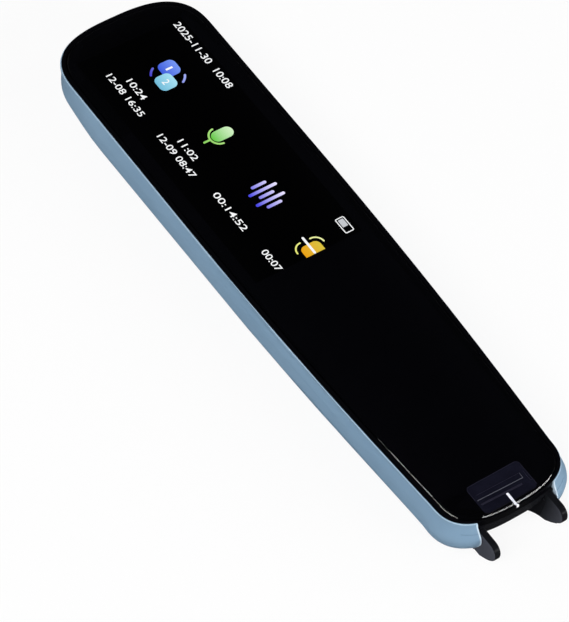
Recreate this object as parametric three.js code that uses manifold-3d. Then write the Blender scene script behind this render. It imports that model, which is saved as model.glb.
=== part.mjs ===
// Handheld translator: a scanning pen with a touch display, lying on its back.
// Millimetres. X runs across the pen, +Y towards its far end, +Z out of the display.
// The origin is the middle of the flat back face, and the reading tip points to -Y.
import * as THREE from 'three';
import { mergeVertices } from 'three/addons/utils/BufferGeometryUtils.js';
import Module from 'manifold-3d';

const wasm = await Module();
wasm.setup();

// Outline of the black rim, seen from above
const bodyLength = 148;
const bodyWidth = 36;
const tipWidth = 29.9;
const taperLength = 85.5;
const farRoundDepth = 13;
const farRoundExponent = 2.8;
const tipRoundDepth = 9.5;
const tipRoundExponent = 2.75;
const endStepCount = 18;
const sideStepCount = 7;

// Height of the body, from the back face to the top of the glass
const bodyHeight = 10;

// Cover glass, the black print behind it and the glue that holds both
const glassThickness = 1;
const glassProud = 0.2;
const glassEdgeRadius = 0.5;
const filmThickness = 0.1;
const adhesiveThickness = 0.15;
const adhesiveWidth = 1.3;

// Black rim and frame
const rimWidth = 0.9;
const rimHeight = 0.4;
const rimChamfer = 0.2;
const frameWebThickness = 0.8;
const framePlateThickness = 1;
const frameTipPlateThickness = 0.75;
const frameWallThickness = 1.2;

// Blue shell
const shellWall = 1.2;
const shellProud = 0.25;
const shellTopChamfer = 0.25;
const shellBulgeFar = 0.1;
const shellBulgeMiddle = 0.45;
const shellBulgeTip = 1.25;
const shellBulgeDepth = 4;
const backEdgeRadius = 4;
const shellWallShares = [0.35, 0.7];
const lipDepth = 1.3;
const lipThickness = 0.45;
const shellEndRibThickness = 1.2;

// Clearances
const lipFit = 0.1;
const glassFit = 0.1;
const skirtFit = 0.2;
const slideGap = 0.2;
const partGap = 0.3;
const cutOverrun = 2;

// Display
const displaySideMargin = 4.45;
const displayFarMargin = 6.9;
const displayBoardGap = 4.5;
const panelSideBorder = 0.75;
const panelFarBorder = 1;
const panelNearBorder = 4;
const panelThickness = 0.8;
const panelCornerRadius = 1;
const backlightThickness = 0.9;
const backlightBorder = 1;
const cushionThickness = 0.2;
const cushionBorder = 1.5;

// Smoked window in the glass at the tip
const tipWindowWidth = 13.4;
const tipWindowDepth = 9.2;
const tipWindowCornerRadius = 1.2;

// Scan foot: two legs, the bar between them and the rails that slide inside
const legSpacing = 16.9;
const legThickness = 1.9;
const legReach = 5.6;
const legTipRadius = 2;
const legTipHeight = 4.6;
const legSlopeDegrees = 31;
const railTopHeight = 7.4;
const railBottomHeight = 0.4;
const railLength = 10.4;
const barThickness = 1.3;
const barBottomHeight = 5.2;
const barFilletRadius = 2.4;
const footTravel = 0.8;
const pusherLength = 4;
const pusherBottomHeight = 1.6;
const pusherThickness = 1.8;

// Springs behind the foot's rails
const springLength = 5;
const springRadius = 1.2;
const springWireRadius = 0.16;
const springHeight = 5.3;
const springEndGap = 0.02;
const springTurnCount = 5;
const springStepCount = 45;
const springWireSideCount = 5;
const springSeatThickness = 1;
const springSeatDrop = 4;

// Nose housing with the slanted window that the camera reads through
const noseWall = 1;
const noseSlopeWall = 1.4;
const noseRearLength = 13.5;
const noseSoleLength = 1.1;
const noseFlexNotchWidth = 8;
const noseFlexNotchDepth = 1.3;
const scanWindowMargin = 0.9;
const scanWindowSideMargin = 1.6;
const scanWindowThickness = 0.6;
const scanWindowLedge = 0.6;

// Camera that looks square through the slanted window
const cameraStandOff = 2;
const cameraBarrelLength = 2.4;
const cameraBarrelRadius = 2.2;
const cameraBoreRadius = 1.6;
const cameraStopRadius = 0.9;
const cameraStopThickness = 0.9;
const cameraLensRadius = 1.3;
const cameraLensThickness = 0.9;
const lensFaceRadiusShare = 0.6;
const lensFaceRiseShare = 0.1;
const lensEdgeRiseShare = 0.4;
const cameraBoardLength = 5.2;
const cameraBoardThickness = 0.6;
const cameraFlexWidth = 6;

// Lamp board beside the camera, seen through the smoked window
const lightBoardSideGap = 1.2;
const lightBoardLength = 2;
const lightBoardThickness = 0.5;
const lightBoardHeight = 7.2;
const ledSize = 1.2;
const ledHeight = 0.5;
const ledPlaceShare = 0.33;

// Main board
const boardThickness = 0.8;
const boardRoof = 3.05;
const boardSideMargin = 5;
const boardLength = 50;
const boardTipMargin = 18;
const boardCornerCut = 1.5;
const bossRadius = 1.9;
const screwHoleRadius = 0.95;
const screwShankRadius = 0.6;
const screwHeadRadius = 1.3;
const screwHeadHeight = 0.7;
const screwTipGap = 0.5;
const screwInset = 2.4;

// Parts on the main board
const processorSize = 11;
const processorHeight = 1.1;
const memoryWidth = 10;
const memoryLength = 7.5;
const memoryHeight = 0.9;
const wirelessWidth = 11;
const wirelessLength = 9;
const wirelessHeight = 1.6;
const chargerSize = 4.5;
const chargerHeight = 0.8;
const audioSize = 4;
const audioHeight = 0.8;
const antennaWidth = 2;
const antennaLength = 7;
const antennaHeight = 1;
const connectorHeight = 0.7;
const connectorLength = 2.4;
const connectorInset = 1.8;
const sideConnectorWidth = 3.6;
const wirelessSideShare = 0.3;
const chargerSideShare = -0.55;
const audioSideShare = -0.6;
const antennaSideShare = -0.88;
const flexThickness = 0.15;
const flexSlotLength = 2.2;

// Battery, its glue pad, lead and socket
const batterySideMargin = 5;
const batteryBoardGap = 5;
const batteryTailGap = 4.5;
const batteryRoof = 0.8;
const batteryCornerRadius = 1;
const batteryPadThickness = 0.2;
const batteryPadBorder = 2;
const batteryLeadBorder = 0.5;
const batteryLeadThickness = 0.5;
const batterySocketLength = 3;
const batterySocketHeight = 1.2;
const batterySocketInset = 1.5;

// Speaker and its grille in the back
const speakerWidth = 18;
const speakerLength = 13;
const speakerRoof = 0.1;
const speakerCornerRadius = 1.5;
const speakerPlaceShare = 0.46;
const gasketThickness = 0.3;
const gasketWidth = 1.4;
const grilleSlotCount = 5;
const grilleSlotWidth = 1;
const grilleSlotLength = 8;
const grilleSlotPitch = 2.6;

// Tail board with the charging socket and a microphone
const tailBoardWidth = 23;
const tailBoardLength = 10.3;
const tailBoardFarMargin = 5.2;
const tailBoardThickness = 0.8;
const tailBoardHeight = 2.1;
const tailPostWidth = 3;
const tailPostPlaceShare = 0.36;
const usbWidth = 8.94;
const usbHeight = 3.16;
const usbLength = 7.3;
const usbWall = 0.3;
const usbBackWall = 0.4;
const usbRecess = 0.9;
const usbTongueWidth = 6.7;
const usbTongueThickness = 0.7;
const usbTongueLength = 4.6;
const usbOpeningFit = 0.3;
const microphoneWidth = 3.5;
const microphoneLength = 2.7;
const microphoneHeight = 1;
const microphoneHoleRadius = 0.5;
const microphonePlaceShare = -0.78;

// Power button on the right side and its switch
const buttonBoardInset = 14;
const buttonLength = 11;
const buttonHeight = 2.2;
const buttonMiddleHeight = 4.4;
const buttonProud = 0.5;
const buttonFlangeBorder = 0.9;
const buttonFlangeThickness = 0.8;
const buttonFlangeHeight = 3;
const buttonStemWidth = 2;
const buttonFit = 0.2;
const powerSwitchDepth = 2.4;
const powerSwitchLength = 4.4;
const powerSwitchHeight = 1.8;
const powerPlungerReach = 1;
const plungerRadius = 0.35;
const plungerBoreRadius = 0.65;

// Foot switch under the main board's front edge
const footSwitchWidth = 2.6;
const footSwitchLength = 2.8;
const footSwitchFloorGap = 0.5;
const footSwitchOverlap = 1;

// Round shapes: a slot's end is a hair less than a half round
const roundSideCount = 20;
const arcStepCount = 5;
const roundEndShare = 0.499;

// Places that follow from the sizes above
const farY = bodyLength / 2;
const tipY = -bodyLength / 2;
const farRoundY = farY - farRoundDepth;
const tipRoundY = tipY + tipRoundDepth;
const taperStartY = tipRoundY + taperLength;
const glassBottomZ = bodyHeight - glassThickness;
const filmBottomZ = glassBottomZ - filmThickness;
const ledgeZ = filmBottomZ - adhesiveThickness;
const rimTopZ = bodyHeight - glassProud;
const shellTopZ = rimTopZ - rimHeight;
const lipBaseZ = shellTopZ - lipDepth;
const panelBottomZ = filmBottomZ - panelThickness;
const backlightBottomZ = panelBottomZ - backlightThickness;
const webTopZ = backlightBottomZ - cushionThickness;
const webBottomZ = webTopZ - frameWebThickness;
const plateBottomZ = ledgeZ - framePlateThickness;
const tipPlateBottomZ = ledgeZ - frameTipPlateThickness;
const glassInset = rimWidth + glassFit;
const lipInset = lipThickness - shellProud;
const frameLipInset = lipInset + lipFit;
const frameSkirtInset = shellWall - shellProud + skirtFit - shellBulgeFar / 2;
const boardFrontY = tipY + boardTipMargin;
const boardRearY = boardFrontY + boardLength;
const boardTopZ = plateBottomZ - boardRoof;
const boardHeight = boardTopZ - boardThickness;
const boardHalf = bodyWidth / 2 - boardSideMargin;
const displayHalf = bodyWidth / 2 - displaySideMargin;
const displayFarY = farY - displayFarMargin;
const displayNearY = boardRearY + displayBoardGap;
const legSide = legSpacing / 2;
const legInner = legSide - legThickness / 2;
const legOuter = legSide + legThickness / 2;
const tipOpeningHalf = legOuter + slideGap;
const noseHalf = legInner - slideGap;
const railRearY = tipY + railLength;
const pusherRearY = railRearY + pusherLength;
const shellFloorEndY = railRearY + footTravel + slideGap * 2;
const noseFrontY = tipEdgeAt(noseHalf) + barThickness + footTravel + slideGap;
const noseRearY = tipY + noseRearLength;
const barTopZ = tipPlateBottomZ - slideGap;

// Where the rim's outline crosses the tip at a distance from the middle
function tipEdgeAt(x) {
  const share = x / (tipWidth / 2);
  const rise = (1 - share ** tipRoundExponent) ** (1 / tipRoundExponent);
  return tipRoundY - tipRoundDepth * rise;
}

// Finishes
function finish(color, roughness, metalness = 0) {
  return new THREE.MeshStandardMaterial({ color, roughness, metalness });
}
const bluePlastic = finish(0x7b9ab0, 0.45);
const blackPlastic = finish(0x0c0d12, 0.35);
const blackGlass = finish(0x050508, 0.08);
const blackPrint = finish(0x030304, 0.5);
const clearPlastic = finish(0x3a3c44, 0.1);
const paleFoam = finish(0x8c8c88, 0.9);
const displayGrey = finish(0x101216, 0.2);
const backlightWhite = finish(0xd8d8d4, 0.5);
const flexAmber = finish(0x9a6420, 0.4);
const boardGreen = finish(0x1d5a38, 0.5);
const chipBlack = finish(0x1a1a1c, 0.5);
const tinnedSteel = finish(0xb8babc, 0.35, 1);
const springSteel = finish(0x9a9ca0, 0.3, 1);
const batteryFoil = finish(0xa8adb2, 0.4, 0.6);
const whiteCeramic = finish(0xe4e2dc, 0.5);

// Solids: closed geometry in, closed geometry out
function solidOf(geometry) {
  const bare = geometry.clone();
  bare.deleteAttribute('normal');
  bare.deleteAttribute('uv');
  const merged = mergeVertices(bare);
  const mesh = new wasm.Mesh({
    numProp: 3,
    vertProperties: new Float32Array(merged.attributes.position.array),
    triVerts: new Uint32Array(merged.index.array),
  });
  return new wasm.Manifold(mesh);
}
function geometryOf(solid) {
  const mesh = solid.getMesh();
  const geometry = new THREE.BufferGeometry();
  geometry.setAttribute('position', new THREE.BufferAttribute(mesh.vertProperties, 3));
  geometry.setIndex(new THREE.BufferAttribute(mesh.triVerts, 1));
  const flat = geometry.toNonIndexed();
  flat.computeVertexNormals();
  return flat;
}

const translator = new THREE.Group();
function addPiece(name, shape, material, parent = translator) {
  const geometry = shape.isBufferGeometry ? shape : geometryOf(shape);
  const mesh = new THREE.Mesh(geometry, material);
  mesh.name = name;
  parent.add(mesh);
  return mesh;
}

// Half of the rim's width at a place along the pen
function halfWidthAt(y) {
  const share = Math.max(0, taperStartY - y) / taperLength;
  return bodyWidth / 2 - (bodyWidth - tipWidth) / 2 * share ** 2;
}

// Half of an end, from its right to its left, as a flattened round
function endRound(halfWidth, depth, exponent) {
  const points = [];
  for (let step = 0; step <= endStepCount; step += 1) {
    const angle = Math.PI * step / endStepCount;
    const across = Math.cos(angle);
    const along = Math.sin(angle);
    const x = Math.sign(across) * halfWidth * Math.abs(across) ** (2 / exponent);
    points.push(new THREE.Vector2(x, depth * Math.abs(along) ** (2 / exponent)));
  }
  return points;
}

// The rim's outline, counter-clockwise from the right of the far end
function rimOutline() {
  const points = [];
  for (const point of endRound(bodyWidth / 2, farRoundDepth, farRoundExponent)) {
    points.push(new THREE.Vector2(point.x, farRoundY + point.y));
  }
  const sideYs = [];
  for (let step = 1; step < sideStepCount; step += 1) {
    sideYs.push(THREE.MathUtils.lerp(farRoundY, tipRoundY, step / sideStepCount));
  }
  for (const y of sideYs) {
    points.push(new THREE.Vector2(-halfWidthAt(y), y));
  }
  for (const point of endRound(halfWidthAt(tipRoundY), tipRoundDepth, tipRoundExponent)) {
    points.push(new THREE.Vector2(-point.x, tipRoundY - point.y));
  }
  for (const y of sideYs.reverse()) {
    points.push(new THREE.Vector2(halfWidthAt(y), y));
  }
  return points;
}
const outline = rimOutline();

// How far the shell's side swells beyond its top edge at a place along the pen
function bulgeAt(y) {
  if (y > 0) {
    return THREE.MathUtils.lerp(shellBulgeMiddle, shellBulgeFar, y / farY);
  }
  const share = Math.min(1, y / tipRoundY);
  return THREE.MathUtils.lerp(shellBulgeMiddle, shellBulgeTip, share ** 2);
}

// The outline moved outwards by an offset and a share of the bulge, at one height
function outlineRing(z, offset, bulgeShare = 0) {
  return outline.map((point, index) => {
    const before = outline[(index + outline.length - 1) % outline.length];
    const after = outline[(index + 1) % outline.length];
    const first = new THREE.Vector2(point.y - before.y, before.x - point.x).normalize();
    const second = new THREE.Vector2(after.y - point.y, point.x - after.x).normalize();
    const mitre = first.clone().add(second).normalize();
    const reach = (offset + bulgeShare * bulgeAt(point.y)) / mitre.dot(first);
    return new THREE.Vector3(point.x + mitre.x * reach, point.y + mitre.y * reach, z);
  });
}

// A closed solid through rings of equal point count, from bottom to top
function loft(rings) {
  const count = rings[0].length;
  const positions = [];
  const indices = [];
  for (const ring of rings) {
    for (const point of ring) {
      positions.push(point.x, point.y, point.z);
    }
  }
  for (let level = 0; level + 1 < rings.length; level += 1) {
    for (let index = 0; index < count; index += 1) {
      const next = (index + 1) % count;
      const low = level * count;
      const high = low + count;
      indices.push(low + index, low + next, high + next);
      indices.push(low + index, high + next, high + index);
    }
  }
  const cap = THREE.ShapeUtils.triangulateShape(rings[0], []);
  const top = (rings.length - 1) * count;
  for (const [a, b, c] of cap) {
    indices.push(a, c, b);
  }
  for (const [a, b, c] of cap) {
    indices.push(top + a, top + b, top + c);
  }
  const geometry = new THREE.BufferGeometry();
  geometry.setAttribute('position', new THREE.Float32BufferAttribute(positions, 3));
  geometry.setIndex(indices);
  return solidOf(geometry);
}
function outlineSolid(bottomZ, topZ, inset) {
  return loft([outlineRing(bottomZ, -inset), outlineRing(topZ, -inset)]);
}

// Simple solids, given by their limits
function block(lowX, highX, lowY, highY, lowZ, highZ) {
  const geometry = new THREE.BoxGeometry(highX - lowX, highY - lowY, highZ - lowZ);
  geometry.translate((lowX + highX) / 2, (lowY + highY) / 2, (lowZ + highZ) / 2);
  return solidOf(geometry);
}
function upright(shape, bottomZ, topZ) {
  const options = { depth: topZ - bottomZ, bevelEnabled: false, curveSegments: arcStepCount };
  const geometry = new THREE.ExtrudeGeometry(shape, options);
  geometry.translate(0, 0, bottomZ);
  return solidOf(geometry);
}

// A side view drawn as (y, z), given a width across the pen
function sideCut(shape, lowX, highX) {
  const options = { depth: highX - lowX, bevelEnabled: false, curveSegments: arcStepCount * 2 };
  const geometry = new THREE.ExtrudeGeometry(shape, options);
  geometry.applyMatrix4(new THREE.Matrix4().makeBasis(
    new THREE.Vector3(0, 1, 0), new THREE.Vector3(0, 0, 1), new THREE.Vector3(1, 0, 0)));
  geometry.translate(lowX, 0, 0);
  return solidOf(geometry);
}

// An end view drawn as (x, z), given a depth along the pen
function endCut(shape, lowY, highY) {
  const options = { depth: highY - lowY, bevelEnabled: false, curveSegments: arcStepCount };
  const geometry = new THREE.ExtrudeGeometry(shape, options);
  geometry.rotateX(Math.PI / 2);
  geometry.translate(0, highY, 0);
  return solidOf(geometry);
}
function post(radius, x, y, lowZ, highZ) {
  const geometry = new THREE.CylinderGeometry(radius, radius, highZ - lowZ, roundSideCount);
  geometry.rotateX(Math.PI / 2);
  geometry.translate(x, y, (lowZ + highZ) / 2);
  return solidOf(geometry);
}
function pinAlongX(radius, lowX, highX, y, z) {
  const geometry = new THREE.CylinderGeometry(radius, radius, highX - lowX, roundSideCount);
  geometry.rotateZ(Math.PI / 2);
  geometry.translate((lowX + highX) / 2, y, z);
  return solidOf(geometry);
}
function pinAlongY(radius, x, lowY, highY, z) {
  const geometry = new THREE.CylinderGeometry(radius, radius, highY - lowY, roundSideCount);
  geometry.translate(x, (lowY + highY) / 2, z);
  return solidOf(geometry);
}

// A rectangle with rounded corners, given by its limits
function roundedRectangle(lowX, highX, lowY, highY, radius) {
  const shape = new THREE.Shape();
  shape.moveTo(lowX + radius, lowY);
  shape.lineTo(highX - radius, lowY);
  shape.absarc(highX - radius, lowY + radius, radius, -Math.PI / 2, 0);
  shape.lineTo(highX, highY - radius);
  shape.absarc(highX - radius, highY - radius, radius, 0, Math.PI / 2);
  shape.lineTo(lowX + radius, highY);
  shape.absarc(lowX + radius, highY - radius, radius, Math.PI / 2, Math.PI);
  shape.lineTo(lowX, lowY + radius);
  shape.absarc(lowX + radius, lowY + radius, radius, Math.PI, Math.PI * 1.5);
  return shape;
}

// A flat flexible strip along a side view path of (y, z) points
function ribbon(path, thickness, lowX, highX) {
  const edge = path.map((point, index) => {
    const before = path[Math.max(0, index - 1)];
    const after = path[Math.min(path.length - 1, index + 1)];
    const first = index > 0
      ? new THREE.Vector2(before.y - point.y, point.x - before.x).normalize() : null;
    const second = index + 1 < path.length
      ? new THREE.Vector2(point.y - after.y, after.x - point.x).normalize() : null;
    const mitre = (first ?? second).clone().add(second ?? first).normalize();
    const reach = thickness / mitre.dot(first ?? second);
    return new THREE.Vector2(point.x + mitre.x * reach, point.y + mitre.y * reach);
  });
  return sideCut(new THREE.Shape([...path, ...edge.reverse()]), lowX, highX);
}

// Blue shell: a tray whose sides swell and whose back edge is round
function shellOffset(z) {
  return Math.sin(Math.PI / 2 * Math.min(1, (shellTopZ - z) / shellBulgeDepth));
}
function shellSideRings(inset, bottomRadius) {
  const rings = [];
  for (let step = 0; step <= arcStepCount; step += 1) {
    const angle = Math.PI / 2 * step / arcStepCount;
    const z = backEdgeRadius - bottomRadius * Math.cos(angle);
    const offset = shellProud - backEdgeRadius + bottomRadius * Math.sin(angle);
    rings.push(outlineRing(z, offset, shellOffset(z)));
  }
  for (const share of shellWallShares) {
    const z = THREE.MathUtils.lerp(backEdgeRadius, lipBaseZ, share);
    rings.push(outlineRing(z, shellProud - inset, shellOffset(z)));
  }
  rings.push(outlineRing(lipBaseZ, shellProud - inset, shellOffset(lipBaseZ)));
  return rings;
}
const chamferZ = shellTopZ - shellTopChamfer;
let shell = loft([
  ...shellSideRings(0, backEdgeRadius),
  outlineRing(chamferZ, shellProud, shellOffset(chamferZ)),
  outlineRing(shellTopZ, shellProud - shellTopChamfer),
]);
const shellOuter = shell;
const cavityRings = shellSideRings(shellWall, backEdgeRadius - shellWall);
const cavity = loft(cavityRings);
const lipRecess = outlineSolid(lipBaseZ - lipFit, bodyHeight + cutOverrun, lipInset);
const shellRibHalf = tipOpeningHalf + shellEndRibThickness;
const tipRib = block(-shellRibHalf, shellRibHalf, tipY - cutOverrun - shellBulgeTip,
  shellFloorEndY + shellEndRibThickness, 0, barTopZ).intersect(shellOuter);
shell = shell.subtract(cavity).subtract(lipRecess).add(tipRib);
shell = shell.subtract(block(-tipOpeningHalf, tipOpeningHalf, tipY - cutOverrun - shellBulgeTip,
  shellFloorEndY, -cutOverrun, bodyHeight + cutOverrun));
shell = shell.subtract(block(-tipOpeningHalf, tipOpeningHalf, shellFloorEndY - cutOverrun,
  shellFloorEndY + shellEndRibThickness + cutOverrun, shellWall, bodyHeight));

// Charging socket's place and its cut-out in the far wall
const tailBoardTopZ = tailBoardHeight + tailBoardThickness;
const usbMiddleZ = tailBoardTopZ + usbHeight / 2;
const usbFrontY = farY + shellProud - usbRecess;
const usbRearY = usbFrontY - usbLength;
function usbShape(border) {
  const halfWidth = usbWidth / 2 + border;
  const halfHeight = usbHeight / 2 + border;
  return roundedRectangle(-halfWidth, halfWidth, -halfHeight, halfHeight, halfHeight * 2 * roundEndShare);
}
function usbSolid(border, lowY, highY) {
  return endCut(usbShape(border), lowY, highY).translate([0, 0, usbMiddleZ]);
}
shell = shell.subtract(usbSolid(usbOpeningFit, usbRearY, farY + cutOverrun));

// Microphone's place and its hole in the far wall
const tailBoardFarY = farY - tailBoardFarMargin;
const tailBoardNearY = tailBoardFarY - tailBoardLength;
const microphoneX = microphonePlaceShare * tailBoardWidth / 2;
const microphoneZ = tailBoardTopZ + microphoneHeight / 2;
shell = shell.subtract(
  pinAlongY(microphoneHoleRadius, microphoneX, tailBoardFarY, farY + cutOverrun, microphoneZ));

// Posts under the tail board
for (const side of [-1, 1]) {
  const postX = side * tailPostPlaceShare * tailBoardWidth;
  shell = shell.add(block(postX - tailPostWidth / 2, postX + tailPostWidth / 2,
    tailBoardNearY, tailBoardFarY - tailPostWidth, shellWall / 2, tailBoardHeight));
}

// Speaker grille: a row of slots across the back
const speakerY = boardFrontY + speakerPlaceShare * boardLength;
for (let slot = 0; slot < grilleSlotCount; slot += 1) {
  const slotX = (slot - (grilleSlotCount - 1) / 2) * grilleSlotPitch;
  const slotShape = roundedRectangle(slotX - grilleSlotWidth / 2, slotX + grilleSlotWidth / 2,
    speakerY - grilleSlotLength / 2, speakerY + grilleSlotLength / 2, grilleSlotWidth * roundEndShare);
  shell = shell.subtract(upright(slotShape, -cutOverrun, shellWall + cutOverrun));
}

// Power button's place and its slot in the right wall
const buttonY = boardRearY - buttonBoardInset;
const wallInnerX = halfWidthAt(buttonY) + shellProud - shellWall;
const wallOuterX = halfWidthAt(buttonY) + shellProud + shellBulgeMiddle;
const buttonBottomZ = buttonMiddleHeight - buttonHeight / 2;
const buttonTopZ = buttonMiddleHeight + buttonHeight / 2;
function buttonShape(border) {
  const halfLength = buttonLength / 2 + border;
  const bottom = buttonBottomZ - border;
  const top = buttonTopZ + border;
  const radius = (top - bottom) * roundEndShare;
  return roundedRectangle(buttonY - halfLength, buttonY + halfLength, bottom, top, radius);
}
shell = shell.subtract(sideCut(buttonShape(buttonFit), wallInnerX - cutOverrun,
  wallOuterX + cutOverrun));
addPiece('back_shell', shell, bluePlastic);

// Black frame: rim, ledge for the glass, display pocket and the bay over the main board
let frame = loft([
  outlineRing(webBottomZ, -frameSkirtInset),
  outlineRing(lipBaseZ + lipFit, -frameSkirtInset),
  outlineRing(lipBaseZ + lipFit, -frameLipInset),
  outlineRing(shellTopZ, -frameLipInset),
  outlineRing(shellTopZ, 0),
  outlineRing(rimTopZ - rimChamfer, 0),
  outlineRing(rimTopZ, -rimChamfer),
]);
frame = frame.subtract(outlineSolid(ledgeZ, bodyHeight + cutOverrun, rimWidth));
const panelHalf = displayHalf + panelSideBorder;
const panelFarY = displayFarY + panelFarBorder;
const panelNearY = displayNearY - panelNearBorder;
frame = frame.subtract(upright(roundedRectangle(-panelHalf - partGap, panelHalf + partGap,
  panelNearY - partGap, panelFarY + partGap, panelCornerRadius), webTopZ, bodyHeight));
const bayInset = frameSkirtInset + frameWallThickness;
const bayRearY = panelNearY - partGap - frameWallThickness;
const bayFrontY = noseRearY + slideGap;
const bay = outlineSolid(webBottomZ - cutOverrun, plateBottomZ, bayInset).intersect(
  block(-bodyWidth, bodyWidth, bayFrontY, bayRearY, 0, bodyHeight));
frame = frame.subtract(bay);
frame = frame.subtract(block(-bodyWidth, bodyWidth, tipY - cutOverrun, bayFrontY + cutOverrun / 2,
  0, tipPlateBottomZ));

// The frame's front edge over the scan foot stands flush with the rim
const frontEdge = outlineSolid(tipPlateBottomZ, shellTopZ, 0).intersect(
  block(-legOuter, legOuter, tipY - cutOverrun, tipRoundY, 0, bodyHeight));
frame = frame.add(frontEdge.subtract(outlineSolid(ledgeZ, bodyHeight + cutOverrun, rimWidth)));

// Opening under the smoked window, open to the camera below
const tipWindowHalf = tipWindowWidth / 2;
const tipWindowRearY = tipY + tipWindowDepth;
frame = frame.subtract(upright(roundedRectangle(-tipWindowHalf, tipWindowHalf,
  tipY + rimWidth + noseWall, tipWindowRearY, tipWindowCornerRadius), 0, bodyHeight));

// Slot for the display's flexible lead: between the side connectors, inside the screw bosses
const sideConnectorX = boardHalf - screwInset - bossRadius - partGap - sideConnectorWidth / 2;
const displayFlexHalf = sideConnectorX - sideConnectorWidth / 2 - partGap;
const displayFlexY = panelNearY + flexSlotLength / 2;
frame = frame.subtract(block(-displayFlexHalf - partGap, displayFlexHalf + partGap,
  displayFlexY - flexSlotLength / 2, displayFlexY + flexSlotLength / 2, 0, webTopZ + partGap));

// Screw bosses over the main board and seats for the foot's springs
const screwPlaces = [];
for (const y of [boardFrontY + screwInset, boardRearY - screwInset]) {
  for (const side of [-1, 1]) {
    screwPlaces.push([side * (boardHalf - screwInset), y]);
  }
}
for (const [x, y] of screwPlaces) {
  frame = frame.add(post(bossRadius, x, y, boardTopZ, plateBottomZ + framePlateThickness / 2));
}
for (const [x, y] of screwPlaces) {
  frame = frame.subtract(post(screwHoleRadius, x, y, 0, plateBottomZ));
}
const springSeatY = railRearY + springLength;
for (const side of [-1, 1]) {
  const seatX = side * legSide;
  frame = frame.add(block(seatX - legThickness / 2, seatX + legThickness / 2, springSeatY,
    springSeatY + springSeatThickness, springSeatDrop, tipPlateBottomZ + frameTipPlateThickness / 2));
}
addPiece('mid_frame', frame, blackPlastic);

// Cover glass with a rounded upper edge
const glassRings = [outlineRing(glassBottomZ, -glassInset)];
for (let step = 0; step <= arcStepCount; step += 1) {
  const angle = Math.PI / 2 * step / arcStepCount;
  const z = bodyHeight - glassEdgeRadius * (1 - Math.sin(angle));
  const inset = glassInset + glassEdgeRadius * (1 - Math.cos(angle));
  glassRings.push(outlineRing(z, -inset));
}
addPiece('cover_glass', loft(glassRings), blackGlass);

// Black print behind the glass, open over the display and the smoked window
const filmInset = glassInset + glassFit;
let film = outlineSolid(filmBottomZ, glassBottomZ, filmInset);
film = film.subtract(block(-displayHalf, displayHalf, displayNearY, displayFarY,
  0, bodyHeight));
film = film.subtract(upright(roundedRectangle(-tipWindowHalf, tipWindowHalf,
  tipY - cutOverrun, tipWindowRearY, tipWindowCornerRadius), 0, bodyHeight));
addPiece('mask_film', film, blackPrint);

// Glue ring on the frame's ledge, broken under the smoked window
let glue = outlineSolid(ledgeZ, filmBottomZ, filmInset);
glue = glue.subtract(outlineSolid(0, bodyHeight, filmInset + adhesiveWidth));
glue = glue.subtract(block(-panelHalf - partGap, panelHalf + partGap, panelNearY - partGap,
  panelFarY + partGap, 0, bodyHeight));
glue = glue.subtract(block(-tipWindowHalf, tipWindowHalf, tipY - cutOverrun, tipWindowRearY,
  0, bodyHeight));
addPiece('glass_adhesive', glue, paleFoam);

// Display: panel, backlight and the foam under it
addPiece('display_panel', upright(roundedRectangle(-panelHalf, panelHalf, panelNearY, panelFarY,
  panelCornerRadius), panelBottomZ, filmBottomZ), displayGrey);
addPiece('display_backlight', upright(roundedRectangle(-panelHalf, panelHalf,
  displayNearY - backlightBorder, panelFarY, panelCornerRadius),
backlightBottomZ, panelBottomZ), backlightWhite);
addPiece('display_cushion', block(-panelHalf + cushionBorder, panelHalf - cushionBorder,
  displayNearY, displayFarY - cushionBorder, webTopZ, backlightBottomZ), paleFoam);

// Scan foot: tongue-shaped legs with rails behind them
const legSlope = THREE.MathUtils.degToRad(legSlopeDegrees);
const legTipY = tipY - legReach + legTipRadius;
function legShape() {
  const lowTangentY = legTipY - legTipRadius * Math.sin(legSlope);
  const lowTangentZ = legTipHeight - legTipRadius * Math.cos(legSlope);
  const soleY = lowTangentY + (lowTangentZ - railBottomHeight) / Math.tan(legSlope);
  const shoulderY = tipY - legReach / 6;
  const fallY = legTipY - shoulderY;
  const fallZ = legTipHeight - railTopHeight;
  const reach = Math.hypot(fallY, fallZ);
  const topAngle = Math.atan2(-fallZ, -fallY) + Math.acos(legTipRadius / reach);
  const shape = new THREE.Shape();
  shape.moveTo(railRearY, railBottomHeight);
  shape.lineTo(railRearY, pusherBottomHeight);
  shape.lineTo(pusherRearY, pusherBottomHeight);
  shape.lineTo(pusherRearY, pusherBottomHeight + pusherThickness);
  shape.lineTo(railRearY, pusherBottomHeight + pusherThickness);
  shape.lineTo(railRearY, railTopHeight);
  shape.lineTo(shoulderY, railTopHeight);
  shape.absarc(legTipY, legTipHeight, legTipRadius, topAngle, Math.PI * 1.5 - legSlope);
  shape.lineTo(soleY, railBottomHeight);
  return shape;
}

// The bar between the legs, with a fillet into each leg
function barShape() {
  const shape = new THREE.Shape();
  shape.moveTo(-legOuter, barTopZ);
  shape.lineTo(-legOuter, barBottomHeight - barFilletRadius);
  shape.lineTo(-legInner, barBottomHeight - barFilletRadius);
  shape.absarc(-legInner + barFilletRadius, barBottomHeight - barFilletRadius, barFilletRadius,
    Math.PI, Math.PI / 2, true);
  shape.lineTo(legInner - barFilletRadius, barBottomHeight);
  shape.absarc(legInner - barFilletRadius, barBottomHeight - barFilletRadius, barFilletRadius,
    Math.PI / 2, 0, true);
  shape.lineTo(legOuter, barBottomHeight - barFilletRadius);
  shape.lineTo(legOuter, barTopZ);
  return shape;
}
let foot = endCut(barShape(), tipY - cutOverrun, tipRoundY);
foot = foot.intersect(outlineSolid(0, bodyHeight, 0));
foot = foot.subtract(outlineSolid(-cutOverrun, bodyHeight + cutOverrun, barThickness));
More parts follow.
